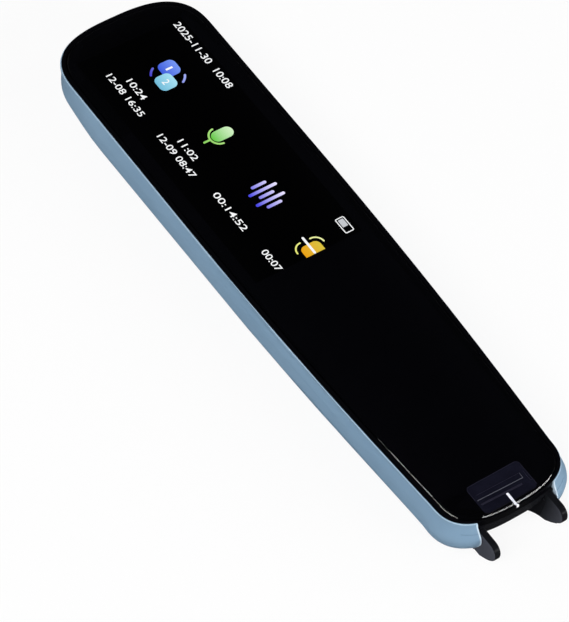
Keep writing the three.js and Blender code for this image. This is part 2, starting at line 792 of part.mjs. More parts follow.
for (const side of [-1, 1]) {
  foot = foot.add(sideCut(legShape(), side * legSide - legThickness / 2,
    side * legSide + legThickness / 2));
}
addPiece('scan_foot', foot, blackPlastic);

// Springs that push the foot out again
class SpringLine extends THREE.Curve {
  getPoint(share) {
    const angle = Math.PI * 2 * springTurnCount * share;
    const end = springWireRadius + springEndGap;
    return new THREE.Vector3(
      springCoilRadius * Math.cos(angle),
      THREE.MathUtils.lerp(end, springLength - end, share),
      springCoilRadius * Math.sin(angle));
  }
}
const springCoilRadius = springRadius - springWireRadius;
function springGeometry() {
  const wire = new THREE.Shape();
  wire.absarc(0, 0, springWireRadius, 0, Math.PI * 2);
  const section = new THREE.Shape(wire.getSpacedPoints(springWireSideCount).slice(1));
  const options = { steps: springStepCount, extrudePath: new SpringLine(), bevelEnabled: false };
  return new THREE.ExtrudeGeometry(section, options);
}
for (const [name, side] of [['foot_spring_left', -1], ['foot_spring_right', 1]]) {
  const spring = addPiece(name, springGeometry(), springSteel);
  spring.position.set(side * legSide, railRearY, springHeight);
}

// Nose housing: a box with a slanted underside, open on top towards the smoked window
const slopeTan = Math.tan(legSlope);
const noseSoleRearY = shellFloorEndY - slideGap;
const noseSoleFrontY = noseSoleRearY - noseSoleLength;
const noseFrontZ = (noseSoleFrontY - noseFrontY) * slopeTan;
const noseLipZ = shellWall + slideGap;
const noseOuter = new THREE.Shape([
  new THREE.Vector2(noseFrontY, noseFrontZ),
  new THREE.Vector2(noseSoleFrontY, 0),
  new THREE.Vector2(noseSoleRearY, 0),
  new THREE.Vector2(noseSoleRearY, noseLipZ),
  new THREE.Vector2(noseRearY, noseLipZ),
  new THREE.Vector2(noseRearY, tipPlateBottomZ),
  new THREE.Vector2(noseFrontY, tipPlateBottomZ),
]);
const slopeWallRise = noseSlopeWall / Math.cos(legSlope);
const noseInnerFloorZ = noseLipZ + noseWall;
const noseInnerFrontY = noseFrontY + noseWall;
const noseInner = new THREE.Shape([
  new THREE.Vector2(noseInnerFrontY, (noseSoleFrontY - noseInnerFrontY) * slopeTan + slopeWallRise),
  new THREE.Vector2(noseSoleFrontY - (noseInnerFloorZ - slopeWallRise) / slopeTan, noseInnerFloorZ),
  new THREE.Vector2(noseRearY - noseWall, noseInnerFloorZ),
  new THREE.Vector2(noseRearY - noseWall, tipPlateBottomZ + cutOverrun),
  new THREE.Vector2(noseInnerFrontY, tipPlateBottomZ + cutOverrun),
]);
let nose = sideCut(noseOuter, -noseHalf, noseHalf);
const noseInnerHalf = noseHalf - noseWall;
nose = nose.subtract(sideCut(noseInner, -noseInnerHalf, noseInnerHalf));
nose = nose.subtract(block(-noseFlexNotchWidth / 2, noseFlexNotchWidth / 2,
  noseRearY - noseWall - partGap, noseRearY + cutOverrun,
  tipPlateBottomZ - noseFlexNotchDepth, tipPlateBottomZ + cutOverrun));

// Everything square to the slanted window sits in one turned group
const slopeMiddle = new THREE.Vector3(0, (noseFrontY + noseSoleFrontY) / 2, noseFrontZ / 2);
const slopeTurn = new THREE.Matrix4().makeRotationX(-legSlope);
slopeTurn.setPosition(slopeMiddle);
function onSlope(lowX, highX, lowY, highY, lowZ, highZ) {
  const geometry = new THREE.BoxGeometry(highX - lowX, highY - lowY, highZ - lowZ);
  geometry.translate((lowX + highX) / 2, (lowY + highY) / 2, (lowZ + highZ) / 2);
  geometry.applyMatrix4(slopeTurn);
  return solidOf(geometry);
}
const slopeLength = Math.hypot(noseSoleFrontY - noseFrontY, noseFrontZ);
const windowHalfWidth = noseHalf - scanWindowSideMargin;
const windowHalfLength = slopeLength / 2 - scanWindowMargin;
const throatHalfWidth = windowHalfWidth - scanWindowLedge;
const throatHalfLength = windowHalfLength - scanWindowLedge;
nose = nose.subtract(onSlope(-windowHalfWidth - partGap, windowHalfWidth + partGap,
  -windowHalfLength - partGap, windowHalfLength + partGap,
  -cutOverrun, scanWindowThickness + partGap));
nose = nose.subtract(onSlope(-throatHalfWidth, throatHalfWidth, -throatHalfLength, throatHalfLength,
  -cutOverrun, noseSlopeWall + cutOverrun / 2));
addPiece('nose_housing', nose, blackPlastic);

const slopeGroup = new THREE.Group();
slopeGroup.position.copy(slopeMiddle);
slopeGroup.rotation.x = -legSlope;
translator.add(slopeGroup);
addPiece('scan_window', block(-windowHalfWidth, windowHalfWidth, -windowHalfLength,
  windowHalfLength, 0, scanWindowThickness), clearPlastic, slopeGroup);

// Camera: barrel with a stepped bore, a lens in its mouth and the board behind
const barrelLowZ = cameraStandOff;
const barrelHighZ = barrelLowZ + cameraBarrelLength;
const stopZ = barrelHighZ - cameraStopThickness;
const barrelProfile = [
  new THREE.Vector2(cameraBoreRadius, barrelLowZ),
  new THREE.Vector2(cameraBarrelRadius, barrelLowZ),
  new THREE.Vector2(cameraBarrelRadius, barrelHighZ),
  new THREE.Vector2(cameraStopRadius, barrelHighZ),
  new THREE.Vector2(cameraStopRadius, stopZ),
  new THREE.Vector2(cameraBoreRadius, stopZ),
  new THREE.Vector2(cameraBoreRadius, barrelLowZ),
];
function turned(profile) {
  const geometry = new THREE.LatheGeometry(profile, roundSideCount);
  geometry.rotateX(Math.PI / 2);
  return solidOf(geometry);
}
addPiece('camera_barrel', turned(barrelProfile), blackPlastic, slopeGroup);
const lensHighZ = stopZ - partGap;
const lensLowZ = lensHighZ - cameraLensThickness;
addPiece('camera_lens', turned([
  new THREE.Vector2(0, lensLowZ),
  new THREE.Vector2(cameraLensRadius * lensFaceRadiusShare,
    lensLowZ + cameraLensThickness * lensFaceRiseShare),
  new THREE.Vector2(cameraLensRadius, lensLowZ + cameraLensThickness * lensEdgeRiseShare),
  new THREE.Vector2(cameraLensRadius, lensHighZ),
  new THREE.Vector2(0, lensHighZ),
]), clearPlastic, slopeGroup);
const cameraBoardLowZ = barrelHighZ + partGap;
const cameraBoardHighZ = cameraBoardLowZ + cameraBoardThickness;
const cameraBoardHalf = noseInnerHalf - partGap;
addPiece('camera_board', block(-cameraBoardHalf, cameraBoardHalf, -cameraBoardLength / 2,
  cameraBoardLength / 2, cameraBoardLowZ, cameraBoardHighZ), boardGreen, slopeGroup);

// Lamp board in front of the camera, with a lamp at each end
const lightFrontY = noseInnerFrontY;
const lightLeftX = -noseInnerHalf;
const lightRightX = noseInnerHalf - lightBoardSideGap;
const lightBoardWidth = lightRightX - lightLeftX;
addPiece('light_board', block(lightLeftX, lightRightX, lightFrontY,
  lightFrontY + lightBoardLength, lightBoardHeight, lightBoardHeight + lightBoardThickness),
whiteCeramic);
const lightMiddleX = (lightLeftX + lightRightX) / 2;
for (const [name, side] of [['light_led_left', -1], ['light_led_right', 1]]) {
  const ledX = lightMiddleX + side * ledPlaceShare * lightBoardWidth;
  const ledY = lightFrontY + lightBoardLength / 2;
  addPiece(name, block(ledX - ledSize / 2, ledX + ledSize / 2, ledY - ledSize / 2,
    ledY + ledSize / 2, lightBoardHeight - ledHeight, lightBoardHeight), backlightWhite);
}

// Main board with its screw holes
const boardOutline = new THREE.Shape([
  new THREE.Vector2(-boardHalf + boardCornerCut, boardFrontY),
  new THREE.Vector2(boardHalf - boardCornerCut, boardFrontY),
  new THREE.Vector2(boardHalf, boardFrontY + boardCornerCut),
  new THREE.Vector2(boardHalf, boardRearY - boardCornerCut),
  new THREE.Vector2(boardHalf - boardCornerCut, boardRearY),
  new THREE.Vector2(-boardHalf + boardCornerCut, boardRearY),
  new THREE.Vector2(-boardHalf, boardRearY - boardCornerCut),
  new THREE.Vector2(-boardHalf, boardFrontY + boardCornerCut),
]);
let board = upright(boardOutline, boardHeight, boardTopZ);
for (const [x, y] of screwPlaces) {
  board = board.subtract(post(screwHoleRadius, x, y, 0, bodyHeight));
}
addPiece('main_board', board, boardGreen);
screwPlaces.forEach(([x, y], index) => {
  const screw = addPiece(`board_screw_${index + 1}`, turned([
    new THREE.Vector2(0, boardHeight - screwHeadHeight),
    new THREE.Vector2(screwHeadRadius, boardHeight - screwHeadHeight),
    new THREE.Vector2(screwHeadRadius, boardHeight),
    new THREE.Vector2(screwShankRadius, boardHeight),
    new THREE.Vector2(screwShankRadius, plateBottomZ - screwTipGap),
    new THREE.Vector2(0, plateBottomZ - screwTipGap),
  ]), tinnedSteel);
  screw.position.set(x, y, 0);
});

// Flat parts soldered to the top of the main board, in rows with even gaps between them
function onBoard(name, x, y, width, length, height, material) {
  addPiece(name, block(x - width / 2, x + width / 2, y - length / 2, y + length / 2,
    boardTopZ, boardTopZ + height), material);
}
const rowLengths = [connectorLength, wirelessLength, memoryLength, processorSize, chargerSize,
  connectorLength];
const rowsLength = rowLengths.reduce((sum, length) => sum + length, connectorInset * 2);
const rowGap = (boardLength - rowsLength) / (rowLengths.length - 1);
const rowYs = [];
let rowStartY = boardFrontY + connectorInset;
for (const length of rowLengths) {
  rowYs.push(rowStartY + length / 2);
  rowStartY += length + rowGap;
}
const [cameraSocketY, wirelessY, memoryY, processorY, chargerY, displaySocketY] = rowYs;

const sideConnectorHalf = sideConnectorWidth / 2;
onBoard('processor_chip', 0, processorY, processorSize, processorSize, processorHeight, chipBlack);
onBoard('memory_chip', 0, memoryY, memoryWidth, memoryLength, memoryHeight, chipBlack);
onBoard('wireless_module', wirelessSideShare * boardHalf, wirelessY, wirelessWidth,
  wirelessLength, wirelessHeight, tinnedSteel);
onBoard('charger_chip', chargerSideShare * boardHalf, chargerY, chargerSize, chargerSize,
  chargerHeight, chipBlack);
onBoard('audio_chip', audioSideShare * boardHalf, wirelessY, audioSize, audioSize,
  audioHeight, chipBlack);
onBoard('antenna', antennaSideShare * boardHalf, memoryY, antennaWidth, antennaLength,
  antennaHeight, whiteCeramic);
onBoard('display_connector', 0, displaySocketY, displayFlexHalf * 2, connectorLength,
  connectorHeight, chipBlack);
onBoard('camera_connector', 0, cameraSocketY, cameraFlexWidth, connectorLength,
  connectorHeight, chipBlack);
onBoard('tail_connector', sideConnectorX, chargerY, sideConnectorWidth, connectorLength,
  connectorHeight, chipBlack);
const socketTopZ = boardTopZ + connectorHeight;

// Flexible leads: display, camera and tail board
addPiece('display_flex', ribbon([
  new THREE.Vector2(displaySocketY - connectorLength / 2, socketTopZ),
  new THREE.Vector2(displayFlexY + flexThickness / 2, socketTopZ),
  new THREE.Vector2(displayFlexY + flexThickness / 2, panelBottomZ - flexThickness),
  new THREE.Vector2(displayFlexY + flexSlotLength / 2, panelBottomZ - flexThickness),
], flexThickness, -displayFlexHalf, displayFlexHalf), flexAmber);
const cameraBoardRear = new THREE.Vector3(0, cameraBoardLength / 2,
  cameraBoardHighZ).applyMatrix4(slopeTurn);
const cameraFlexZ = tipPlateBottomZ - noseFlexNotchDepth / 2;
addPiece('camera_flex', ribbon([
  new THREE.Vector2(cameraBoardRear.y + partGap, cameraBoardRear.z),
  new THREE.Vector2(noseRearY - noseWall, cameraFlexZ),
  new THREE.Vector2(noseRearY + noseWall * 2, cameraFlexZ),
  new THREE.Vector2(boardFrontY, socketTopZ),
  new THREE.Vector2(cameraSocketY + connectorLength / 2, socketTopZ),
], flexThickness, -cameraFlexWidth / 2, cameraFlexWidth / 2), flexAmber);

// Battery between the main board and the tail board
const batteryNearY = boardRearY + batteryBoardGap;
const batteryFarY = tailBoardNearY - batteryTailGap;
const batteryBottomZ = shellWall + batteryPadThickness;
const batteryTopZ = webBottomZ - batteryRoof;
const batteryHalf = bodyWidth / 2 - batterySideMargin;
addPiece('battery_cell', upright(roundedRectangle(-batteryHalf, batteryHalf, batteryNearY,
  batteryFarY, batteryCornerRadius), batteryBottomZ, batteryTopZ), batteryFoil);
addPiece('battery_pad', block(-batteryHalf + batteryPadBorder, batteryHalf - batteryPadBorder,
  batteryNearY + batteryPadBorder, batteryFarY - batteryPadBorder, shellWall, batteryBottomZ),
paleFoam);
const batterySocketRearY = boardRearY - batterySocketInset;
addPiece('battery_socket', block(-sideConnectorX - sideConnectorHalf,
  -sideConnectorX + sideConnectorHalf, batterySocketRearY - batterySocketLength,
  batterySocketRearY, boardTopZ, boardTopZ + batterySocketHeight), whiteCeramic);
const batteryLeadHalf = sideConnectorHalf - batteryLeadBorder;
const batteryLeadZ = (boardTopZ + batteryTopZ) / 2;
addPiece('battery_lead', block(-sideConnectorX - batteryLeadHalf, -sideConnectorX + batteryLeadHalf,
  batterySocketRearY, batteryNearY, batteryLeadZ - batteryLeadThickness / 2,
  batteryLeadZ + batteryLeadThickness / 2), flexAmber);

// Speaker on its foam gasket around the grille
const speakerHalf = speakerWidth / 2;
const speakerBottomZ = shellWall + gasketThickness;
function speakerOutline(inset) {
  return roundedRectangle(-speakerHalf + inset, speakerHalf - inset,
    speakerY - speakerLength / 2 + inset, speakerY + speakerLength / 2 - inset,
    speakerCornerRadius);
}
addPiece('speaker', upright(speakerOutline(0), speakerBottomZ, boardHeight - speakerRoof),
  blackPlastic);
addPiece('speaker_gasket', upright(speakerOutline(0), shellWall, speakerBottomZ).subtract(
  upright(speakerOutline(gasketWidth), 0, bodyHeight)), paleFoam);

// Tail board with the charging socket, the microphone and the lead to the main board
const tailHalf = tailBoardWidth / 2;
addPiece('tail_board', block(-tailHalf, tailHalf, tailBoardNearY, tailBoardFarY,
  tailBoardHeight, tailBoardTopZ), boardGreen);
addPiece('usb_shell', usbSolid(0, usbRearY, usbFrontY).subtract(
  usbSolid(-usbWall, usbRearY + usbBackWall, usbFrontY + cutOverrun)), tinnedSteel);
addPiece('usb_tongue', block(-usbTongueWidth / 2, usbTongueWidth / 2, usbRearY + usbBackWall,
  usbRearY + usbBackWall + usbTongueLength, usbMiddleZ - usbTongueThickness / 2,
  usbMiddleZ + usbTongueThickness / 2), chipBlack);
addPiece('microphone', block(microphoneX - microphoneWidth / 2, microphoneX
  + microphoneWidth / 2, tailBoardFarY - microphoneLength, tailBoardFarY,
tailBoardTopZ, tailBoardTopZ + microphoneHeight), tinnedSteel);
const tailFlexZ = Math.max(socketTopZ, batteryTopZ);
addPiece('tail_flex', ribbon([
  new THREE.Vector2(chargerY - connectorLength / 2, tailFlexZ),
  new THREE.Vector2(batteryFarY + partGap * 2, tailFlexZ),
  new THREE.Vector2(batteryFarY + partGap * 2, tailBoardTopZ),
  new THREE.Vector2(tailBoardNearY + connectorLength, tailBoardTopZ),
], flexThickness, sideConnectorX - sideConnectorHalf, sideConnectorX + sideConnectorHalf),
flexAmber);

// Power button: cap through the wall, flange inside it and a stem to the switch
const flangeOuterX = wallInnerX - partGap;
const flangeInnerX = flangeOuterX - buttonFlangeThickness;
const switchOuterX = boardHalf - partGap;
const stemInnerX = switchOuterX + powerPlungerReach;
const buttonOuterX = wallOuterX + buttonProud;
let button = sideCut(buttonShape(0), flangeInnerX, buttonOuterX);
button = button.add(block(flangeInnerX, flangeOuterX, buttonY - buttonLength / 2
  - buttonFlangeBorder, buttonY + buttonLength / 2 + buttonFlangeBorder,
buttonMiddleHeight - buttonFlangeHeight / 2, buttonMiddleHeight + buttonFlangeHeight / 2));
const switchMiddleZ = boardTopZ + powerSwitchHeight / 2;
button = button.add(block(stemInnerX, flangeInnerX + buttonFlangeThickness / 2,
  buttonY - buttonStemWidth / 2, buttonY + buttonStemWidth / 2, buttonBottomZ + buttonHeight / 2,
  buttonMiddleHeight + buttonFlangeHeight / 2));
addPiece('power_button', button, blackPlastic);
const switchInnerX = switchOuterX - powerSwitchDepth;
addPiece('power_switch', block(switchInnerX, switchOuterX, buttonY - powerSwitchLength / 2,
  buttonY + powerSwitchLength / 2, boardTopZ, boardTopZ + powerSwitchHeight).subtract(
  pinAlongX(plungerBoreRadius, switchInnerX + powerPlungerReach / 2,
    switchOuterX + cutOverrun, buttonY, switchMiddleZ)), tinnedSteel);
addPiece('power_switch_plunger', pinAlongX(plungerRadius, switchOuterX - powerPlungerReach,
  stemInnerX, buttonY, switchMiddleZ), chipBlack);

// Foot switch: its plunger meets the right rail's pusher
const footSwitchRearY = boardFrontY + footSwitchOverlap;
const footSwitchFrontY = footSwitchRearY - footSwitchLength;
const footSwitchBottomZ = shellWall + footSwitchFloorGap;
const footSwitchZ = (boardHeight + footSwitchBottomZ) / 2;
addPiece('foot_switch', block(legSide - footSwitchWidth / 2, legSide + footSwitchWidth / 2,
  footSwitchFrontY, footSwitchRearY, footSwitchBottomZ, boardHeight).subtract(
  pinAlongY(plungerBoreRadius, legSide, footSwitchFrontY - cutOverrun,
    footSwitchRearY - partGap, footSwitchZ)), tinnedSteel);
addPiece('foot_switch_plunger', pinAlongY(plungerRadius, legSide, pusherRearY,
  footSwitchRearY - partGap * 2 - footTravel, footSwitchZ), chipBlack);

export default translator;
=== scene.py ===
"""Handheld translator: a scanning pen with a touch display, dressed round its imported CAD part.

Metres, +Z up. X runs across the pen, +Y towards its far end, and the reading tip points to -Y.
Sizes in the sections are in millimetres, and every mesh is brought to metres as it becomes a piece.
"""
import math

import bmesh
import bpy
from mathutils import Matrix, Quaternion, Vector


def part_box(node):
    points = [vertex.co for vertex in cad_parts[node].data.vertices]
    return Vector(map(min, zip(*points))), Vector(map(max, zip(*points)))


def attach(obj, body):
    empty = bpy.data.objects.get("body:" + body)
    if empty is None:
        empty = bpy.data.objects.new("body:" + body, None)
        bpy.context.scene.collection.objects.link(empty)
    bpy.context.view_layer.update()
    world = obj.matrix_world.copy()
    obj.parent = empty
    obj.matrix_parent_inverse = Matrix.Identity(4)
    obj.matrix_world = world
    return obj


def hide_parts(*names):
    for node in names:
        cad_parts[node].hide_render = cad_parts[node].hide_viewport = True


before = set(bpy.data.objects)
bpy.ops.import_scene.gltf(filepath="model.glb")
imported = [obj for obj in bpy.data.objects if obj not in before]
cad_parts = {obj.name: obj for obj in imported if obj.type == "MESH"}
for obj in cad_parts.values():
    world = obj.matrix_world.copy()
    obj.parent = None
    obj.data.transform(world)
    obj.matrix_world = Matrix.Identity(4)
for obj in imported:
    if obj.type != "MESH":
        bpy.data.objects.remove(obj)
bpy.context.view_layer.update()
MM = 0.001


# Camera
# A long lens looks down on the pen from its upper left front, so the far end runs away to the
# top left of the picture and the tip lies at the bottom right.
camera_place = Vector((-284.15, -307.58, 550.9)) * MM
camera_right = Vector((0.81601, -0.56994, 0.09638))
camera_down = Vector((-0.41505, -0.69378, -0.58856))
camera_forward = Vector((0.40231, 0.44027, -0.80269))
lens_length, sensor_size = 189.96, 36.0
nearest_seen, farthest_seen = 0.05, 20.0


def placed(name, data):
    """A new object in the scene."""
    made = bpy.data.objects.new(name, data)
    bpy.context.collection.objects.link(made)
    return made


lens = bpy.data.cameras.new("photo_lens")
lens.lens, lens.sensor_width = lens_length, sensor_size
lens.clip_start, lens.clip_end = nearest_seen, farthest_seen
camera = placed("photo_camera", lens)
turn = Matrix((camera_right, -camera_down, -camera_forward)).transposed()
camera.matrix_world = Matrix.Translation(camera_place) @ turn.to_4x4()
bpy.context.scene.camera = camera
bpy.context.scene.view_settings.view_transform = "Standard"


# Table and backdrop
# A sheet of pale paper lies under the pen and curves up into a low wall all round, as in a
# light tent. It shows near white and keeps the pen's own soft shadow.
class Wire:
    """A value in a material: an output socket, so that shader maths reads as plain sums."""

    def __init__(self, tree, socket):
        self.tree, self.socket = tree, socket

    def make(self, kind, settings=None, output=0, **values):
        """A new node of a kind. Its settings come first, then its sockets, named with _ for spaces."""
        node = self.tree.nodes.new(kind)
        for name, value in (settings or {}).items():
            setattr(node, name, value)
        for name, value in values.items():
            socket = node.inputs[int(name[1:]) if name[1:].isdigit() else name.replace("_", " ")]
            if isinstance(value, (Wire, list)):
                for wire in value if isinstance(value, list) else [value]:
                    self.tree.links.new(wire.socket, socket)
            else:
                socket.default_value = (*value, 1.0) if socket.type == "RGBA" else value
        return Wire(self.tree, node.outputs[output])

    def maths(self, operation, *terms):
        sockets = {f"_{place}": term for place, term in enumerate(terms)}
        return self.make("ShaderNodeMath", {"operation": operation}, **sockets)

    def __add__(self, other):
        return self.maths("ADD", self, other)

    __radd__ = __add__

    def __sub__(self, other):
        return self.maths("SUBTRACT", self, other)

    def __rsub__(self, other):
        return self.maths("SUBTRACT", other, self)

    def __mul__(self, other):
        return self.maths("MULTIPLY", self, other)

    __rmul__ = __mul__

    def __truediv__(self, other):
        return self.maths("DIVIDE", self, other)

    def part(self, axis):
        """One number of a place: 0 across the pen, 1 along it, 2 upwards."""
        return self.make("ShaderNodeSeparateXYZ", output=axis, Vector=self)

    def clamped(self):
        """This value kept between 0 and 1."""
        return self.make("ShaderNodeClamp", Value=self)

    def blended(self, low, high):
        """A colour between low and high, by this value."""
        return self.make("ShaderNodeMix", {"data_type": "RGBA"}, 2, _0=self, _6=low, _7=high)

    def noise(self, scale, detail, **sockets):
        """Cloudy noise over the place that this wire carries."""
        return self.make("ShaderNodeTexNoise", Vector=self, Scale=scale, Detail=detail, **sockets)


def new_material(name):
    """An empty material, and a wire that carries the place on the object, in millimetres."""
    material = bpy.data.materials.new(name)
    material.use_nodes = True
    material.node_tree.nodes.clear()
    start = Wire(material.node_tree, None)
    place = start.make("ShaderNodeTexCoord", output="Object")
    return material, start.make("ShaderNodeVectorMath", {"operation": "SCALE"}, _0=place, Scale=1 / MM)


def shown(material, shader):
    """Ends a material in its shader."""
    output = material.node_tree.nodes.new("ShaderNodeOutputMaterial")
    material.node_tree.links.new(shader.socket, output.inputs["Surface"])
    return material


def meshed(work, name="built"):
    """Mesh data from a mesh that was being built."""
    data = bpy.data.meshes.new(name)
    work.to_mesh(data)
    work.free()
    return data


paper_colour, black = (0.88, 0.88, 0.88), (0, 0, 0)
backdrop_share, mirrored_share = 0.9, 0.08
cove_rings = [(0, -0.03), (1200, -0.03), (2400, -0.03), (2700, 40), (2860, 160), (2900, 320), (2900, 1000)]
cove_sides = 96

paper, place = new_material("backdrop_paper")
viewed, glossy, passing = (place.make("ShaderNodeLightPath", output=f"Is {kind} Ray")
                           for kind in ("Camera", "Glossy", "Transmission"))
tone = (place.noise(0.9, 3.0) * 0.02 + 0.98).blended(black, paper_colour)
matt = place.make("ShaderNodeBsdfDiffuse", Color=tone)
white = place.make("ShaderNodeEmission", Color=(1, 1, 1), Strength=1 - glossy * (1 - mirrored_share))
in_view = place.maths("MAXIMUM", viewed, passing) * backdrop_share
shown(paper, place.make("ShaderNodeMixShader", _0=place.maths("MAXIMUM", in_view, glossy), _1=matt, _2=white))

cove_work, loops = bmesh.new(), []
for radius, height in cove_rings:
    angles = [math.tau * side / cove_sides for side in range(cove_sides if radius else 1)]
    loops.append([cove_work.verts.new((radius * math.cos(a), radius * math.sin(a), height)) for a in angles])
for inner, outer in zip(loops, loops[1:]):
    for side in range(cove_sides):
        after = (side + 1) % cove_sides
        closing = [inner[after]] if len(inner) > 1 else []
        cove_work.faces.new([inner[side % len(inner)], outer[side], outer[after], *closing])
cove_data = meshed(cove_work, "paper_cove")
cove_data.transform(Matrix.Scale(MM, 4))
cove_data.shade_smooth()
cove_data.materials.append(paper)
placed("paper_cove", cove_data)


# Lamps
# Seven soft boxes stand round the table. Five large fills, over the shoulder, in front, behind, at
# the right and far off at the left, aren't mirrored in the gloss. Two slim ones draw the bright
# lines along the glass's ground edge.
studio_dim = (0.022, 0.023, 0.028)
soft_boxes = {
    # name: direction from the pen, distance, width, height, roll in degrees, watts, mirrored in gloss
    "lamp_shoulder": ((-0.62, -0.28, 0.73), 1.35, 0.80, 0.80, 0, 11.5, False),
    "lamp_tip": ((0.491, -0.798, 0.352), 1.11, 1.14, 0.19, -21.6, 5.6, True),
    "lamp_front": ((0.491, -0.798, 0.352), 1.30, 0.70, 0.40, 0, 4.2, False),
    "lamp_left": ((-0.831, -0.153, 0.535), 1.11, 1.07, 0.15, 7.8, 2.9, True),
    "lamp_back": ((0.25, 0.93, 0.30), 1.40, 0.60, 0.40, 0, 4.0, False),
    "lamp_right": ((0.95, -0.10, 0.34), 1.40, 0.40, 0.40, 0, 5.0, False),
    "lamp_far": ((-0.62, 0.68, 0.38), 1.40, 0.60, 0.50, 0, 3.2, False),
}
for name, (direction, distance, width, height, roll, watts, mirrored) in soft_boxes.items():
    light = bpy.data.lights.new(name, "AREA")
    light.shape, light.size, light.size_y, light.energy = "RECTANGLE", width, height, watts
    box = placed(name, light)
    outward = Vector(direction).normalized()
    box.location = outward * distance
    box.rotation_mode = "QUATERNION"
    box.rotation_quaternion = outward.to_track_quat("Z", "Y") @ Quaternion((0, 0, 1), math.radians(roll))
    box.visible_camera, box.visible_glossy = False, mirrored

world = bpy.data.worlds.new("dim_studio")
world.use_nodes = True
world.node_tree.nodes["Background"].inputs["Color"].default_value = (*studio_dim, 1)
world.node_tree.nodes["Background"].inputs["Strength"].default_value = 1.0
bpy.context.scene.world = world


# Back shell
# A tray of satin steel-blue plastic, moulded in one piece. It wraps the far end, both sides, the
# back and the two corners of the tip, and clips on under the black frame's rim.
body_length, body_width, tip_width, taper_length, body_height = 148.0, 36.0, 29.9, 85.5, 10.0
far_y, tip_y = body_length / 2, -body_length / 2
far_depth, far_squareness, tip_depth, tip_squareness = 13.0, 2.8, 9.5, 2.75
far_round_y, tip_round_y = far_y - far_depth, tip_y + tip_depth
end_steps, side_steps = 72, 30
shell_top, lip_base, lip_overlap, lip_reach = 9.4, 8.1, 0.1, 0.2
shell_wall, shell_proud = 1.2, 0.25
shoulder_radius, back_radius = 0.25, 3.2
back_steps, wall_steps, shoulder_steps = 10, 8, 6
swell_depth = 4.0
swell_stops = [(0.0, 0.5), (50.0, 0.65), (68.0, -0.5), (74.0, 0.2)]
tip_swell_low, tip_swell_high, tip_swell_z = 0.3, 2.2, 4.5
tip_swell_start, tip_swell_end = -60.0, -76.0
overrun = 2.0


def half_width(y):
    """Half of the rim's width at a place along the pen."""
    share = max(0.0, tip_round_y + taper_length - y) / taper_length
    return body_width / 2 - (body_width - tip_width) / 2 * share**2


def end_arc(half, depth, squareness):
    """An end of the rim from its right to its left, as a flattened round."""
    points = []
    for step in range(end_steps + 1):
        across, along = math.cos(math.pi * step / end_steps), math.sin(math.pi * step / end_steps)
        x = math.copysign(half * abs(across) ** (2 / squareness), across)
        points.append((x, depth * abs(along) ** (2 / squareness)))
    return points


sides = [far_round_y + (tip_round_y - far_round_y) * step / side_steps for step in range(1, side_steps)]
rim_line = [(x, far_round_y + y) for x, y in end_arc(body_width / 2, far_depth, far_squareness)]
rim_line += [(-half_width(y), y) for y in sides]
rim_line += [(-x, tip_round_y - y) for x, y in end_arc(half_width(tip_round_y), tip_depth, tip_squareness)]
rim_line += [(half_width(y), y) for y in reversed(sides)]


def eased(share):
    """A share that starts and ends gently."""
    share = max(0.0, min(1.0, share))
    return share * share * (3 - 2 * share)


def swell_at(y, z):
    """How far the shell's side swells at a place along the pen. At the tip it is fullest half way up."""
    for (near, low), (far, high) in zip(swell_stops, swell_stops[1:]):
        if near <= y <= far:
            return low + (high - low) * eased((y - near) / (far - near))
    if y > 0:
        return swell_stops[-1][1]
    at_tip = tip_swell_low + (tip_swell_high - tip_swell_low) * min(1.0, z / tip_swell_z)
    share = eased((y - tip_swell_start) / (tip_swell_end - tip_swell_start))
    return swell_stops[0][1] + (at_tip - swell_stops[0][1]) * share


def swell_share(z):
    """The part of the swell that is left at a height: none at the lip, all of it below."""
    return math.sin(math.pi / 2 * min(1.0, (shell_top - z) / swell_depth)) ** 2


def front_share(y):
    """1 at the tip's front edge, falling to 0 round its corners."""
    return max(0.0, (tip_round_y - y) / tip_depth) ** 2


def ring(z, offset, swelling=0.0, front=0.0):
    """The rim's line at one height, moved outwards, and by front more at the tip's front edge."""
    points = []
    for place, (x, y) in enumerate(rim_line):
        before, after = rim_line[place - 1], rim_line[(place + 1) % len(rim_line)]
        first = Vector((y - before[1], before[0] - x)).normalized()
        second = Vector((after[1] - y, x - after[0])).normalized()
        out = (first + second).normalized()
        reach = (offset + swelling * swell_at(y, z) + front * front_share(y)) / out.dot(first)
        points.append((x + out.x * reach, y + out.y * reach, z))
    return points


def loft(rings):
    """A closed mesh through rings of points, all of one count, from one end to the other."""
    work = bmesh.new()
    rows = [[work.verts.new(point) for point in points] for points in rings]
    count = len(rows[0])
    for low, high in zip(rows, rows[1:]):
        for place in range(count):
            after = (place + 1) % count
            work.faces.new((low[place], low[after], high[after], high[place]))
    work.faces.new(list(reversed(rows[0])))
    work.faces.new(rows[-1])
    bmesh.ops.recalc_face_normals(work, faces=work.faces)
    return meshed(work)


def slab(low_z, high_z, offset, front=0.0):
    """A flat slab with the rim's outline, moved outwards."""
    return loft([ring(low_z, offset, front=front), ring(high_z, offset, front=front)])


def prism(points, low, high, along="Z"):
    """A flat outline given a depth. It is drawn as (x, y), as (y, z) along X or as (x, z) along Y."""
    lay = {"Z": lambda a, b, depth: (a, b, depth), "X": lambda a, b, depth: (depth, a, b),
           "Y": lambda a, b, depth: (a, depth, b)}[along]
    return loft([[lay(a, b, depth) for a, b in points] for depth in (low, high)])


def box_mesh(low_x, high_x, low_y, high_y, low_z, high_z):
    return prism([(low_x, low_y), (high_x, low_y), (high_x, high_y), (low_x, high_y)], low_z, high_z)


def arc(centre, radius, start, end, steps):
    """Points on an arc, angles in degrees."""
    points = []
    for step in range(steps + 1):
        angle = math.radians(start + (end - start) * step / steps)
        points.append((centre[0] + radius * math.cos(angle), centre[1] + radius * math.sin(angle)))
    return points


def circle(centre, radius, sides=24):
    return arc(centre, radius, 0, 360 - 360 / sides, sides - 1)


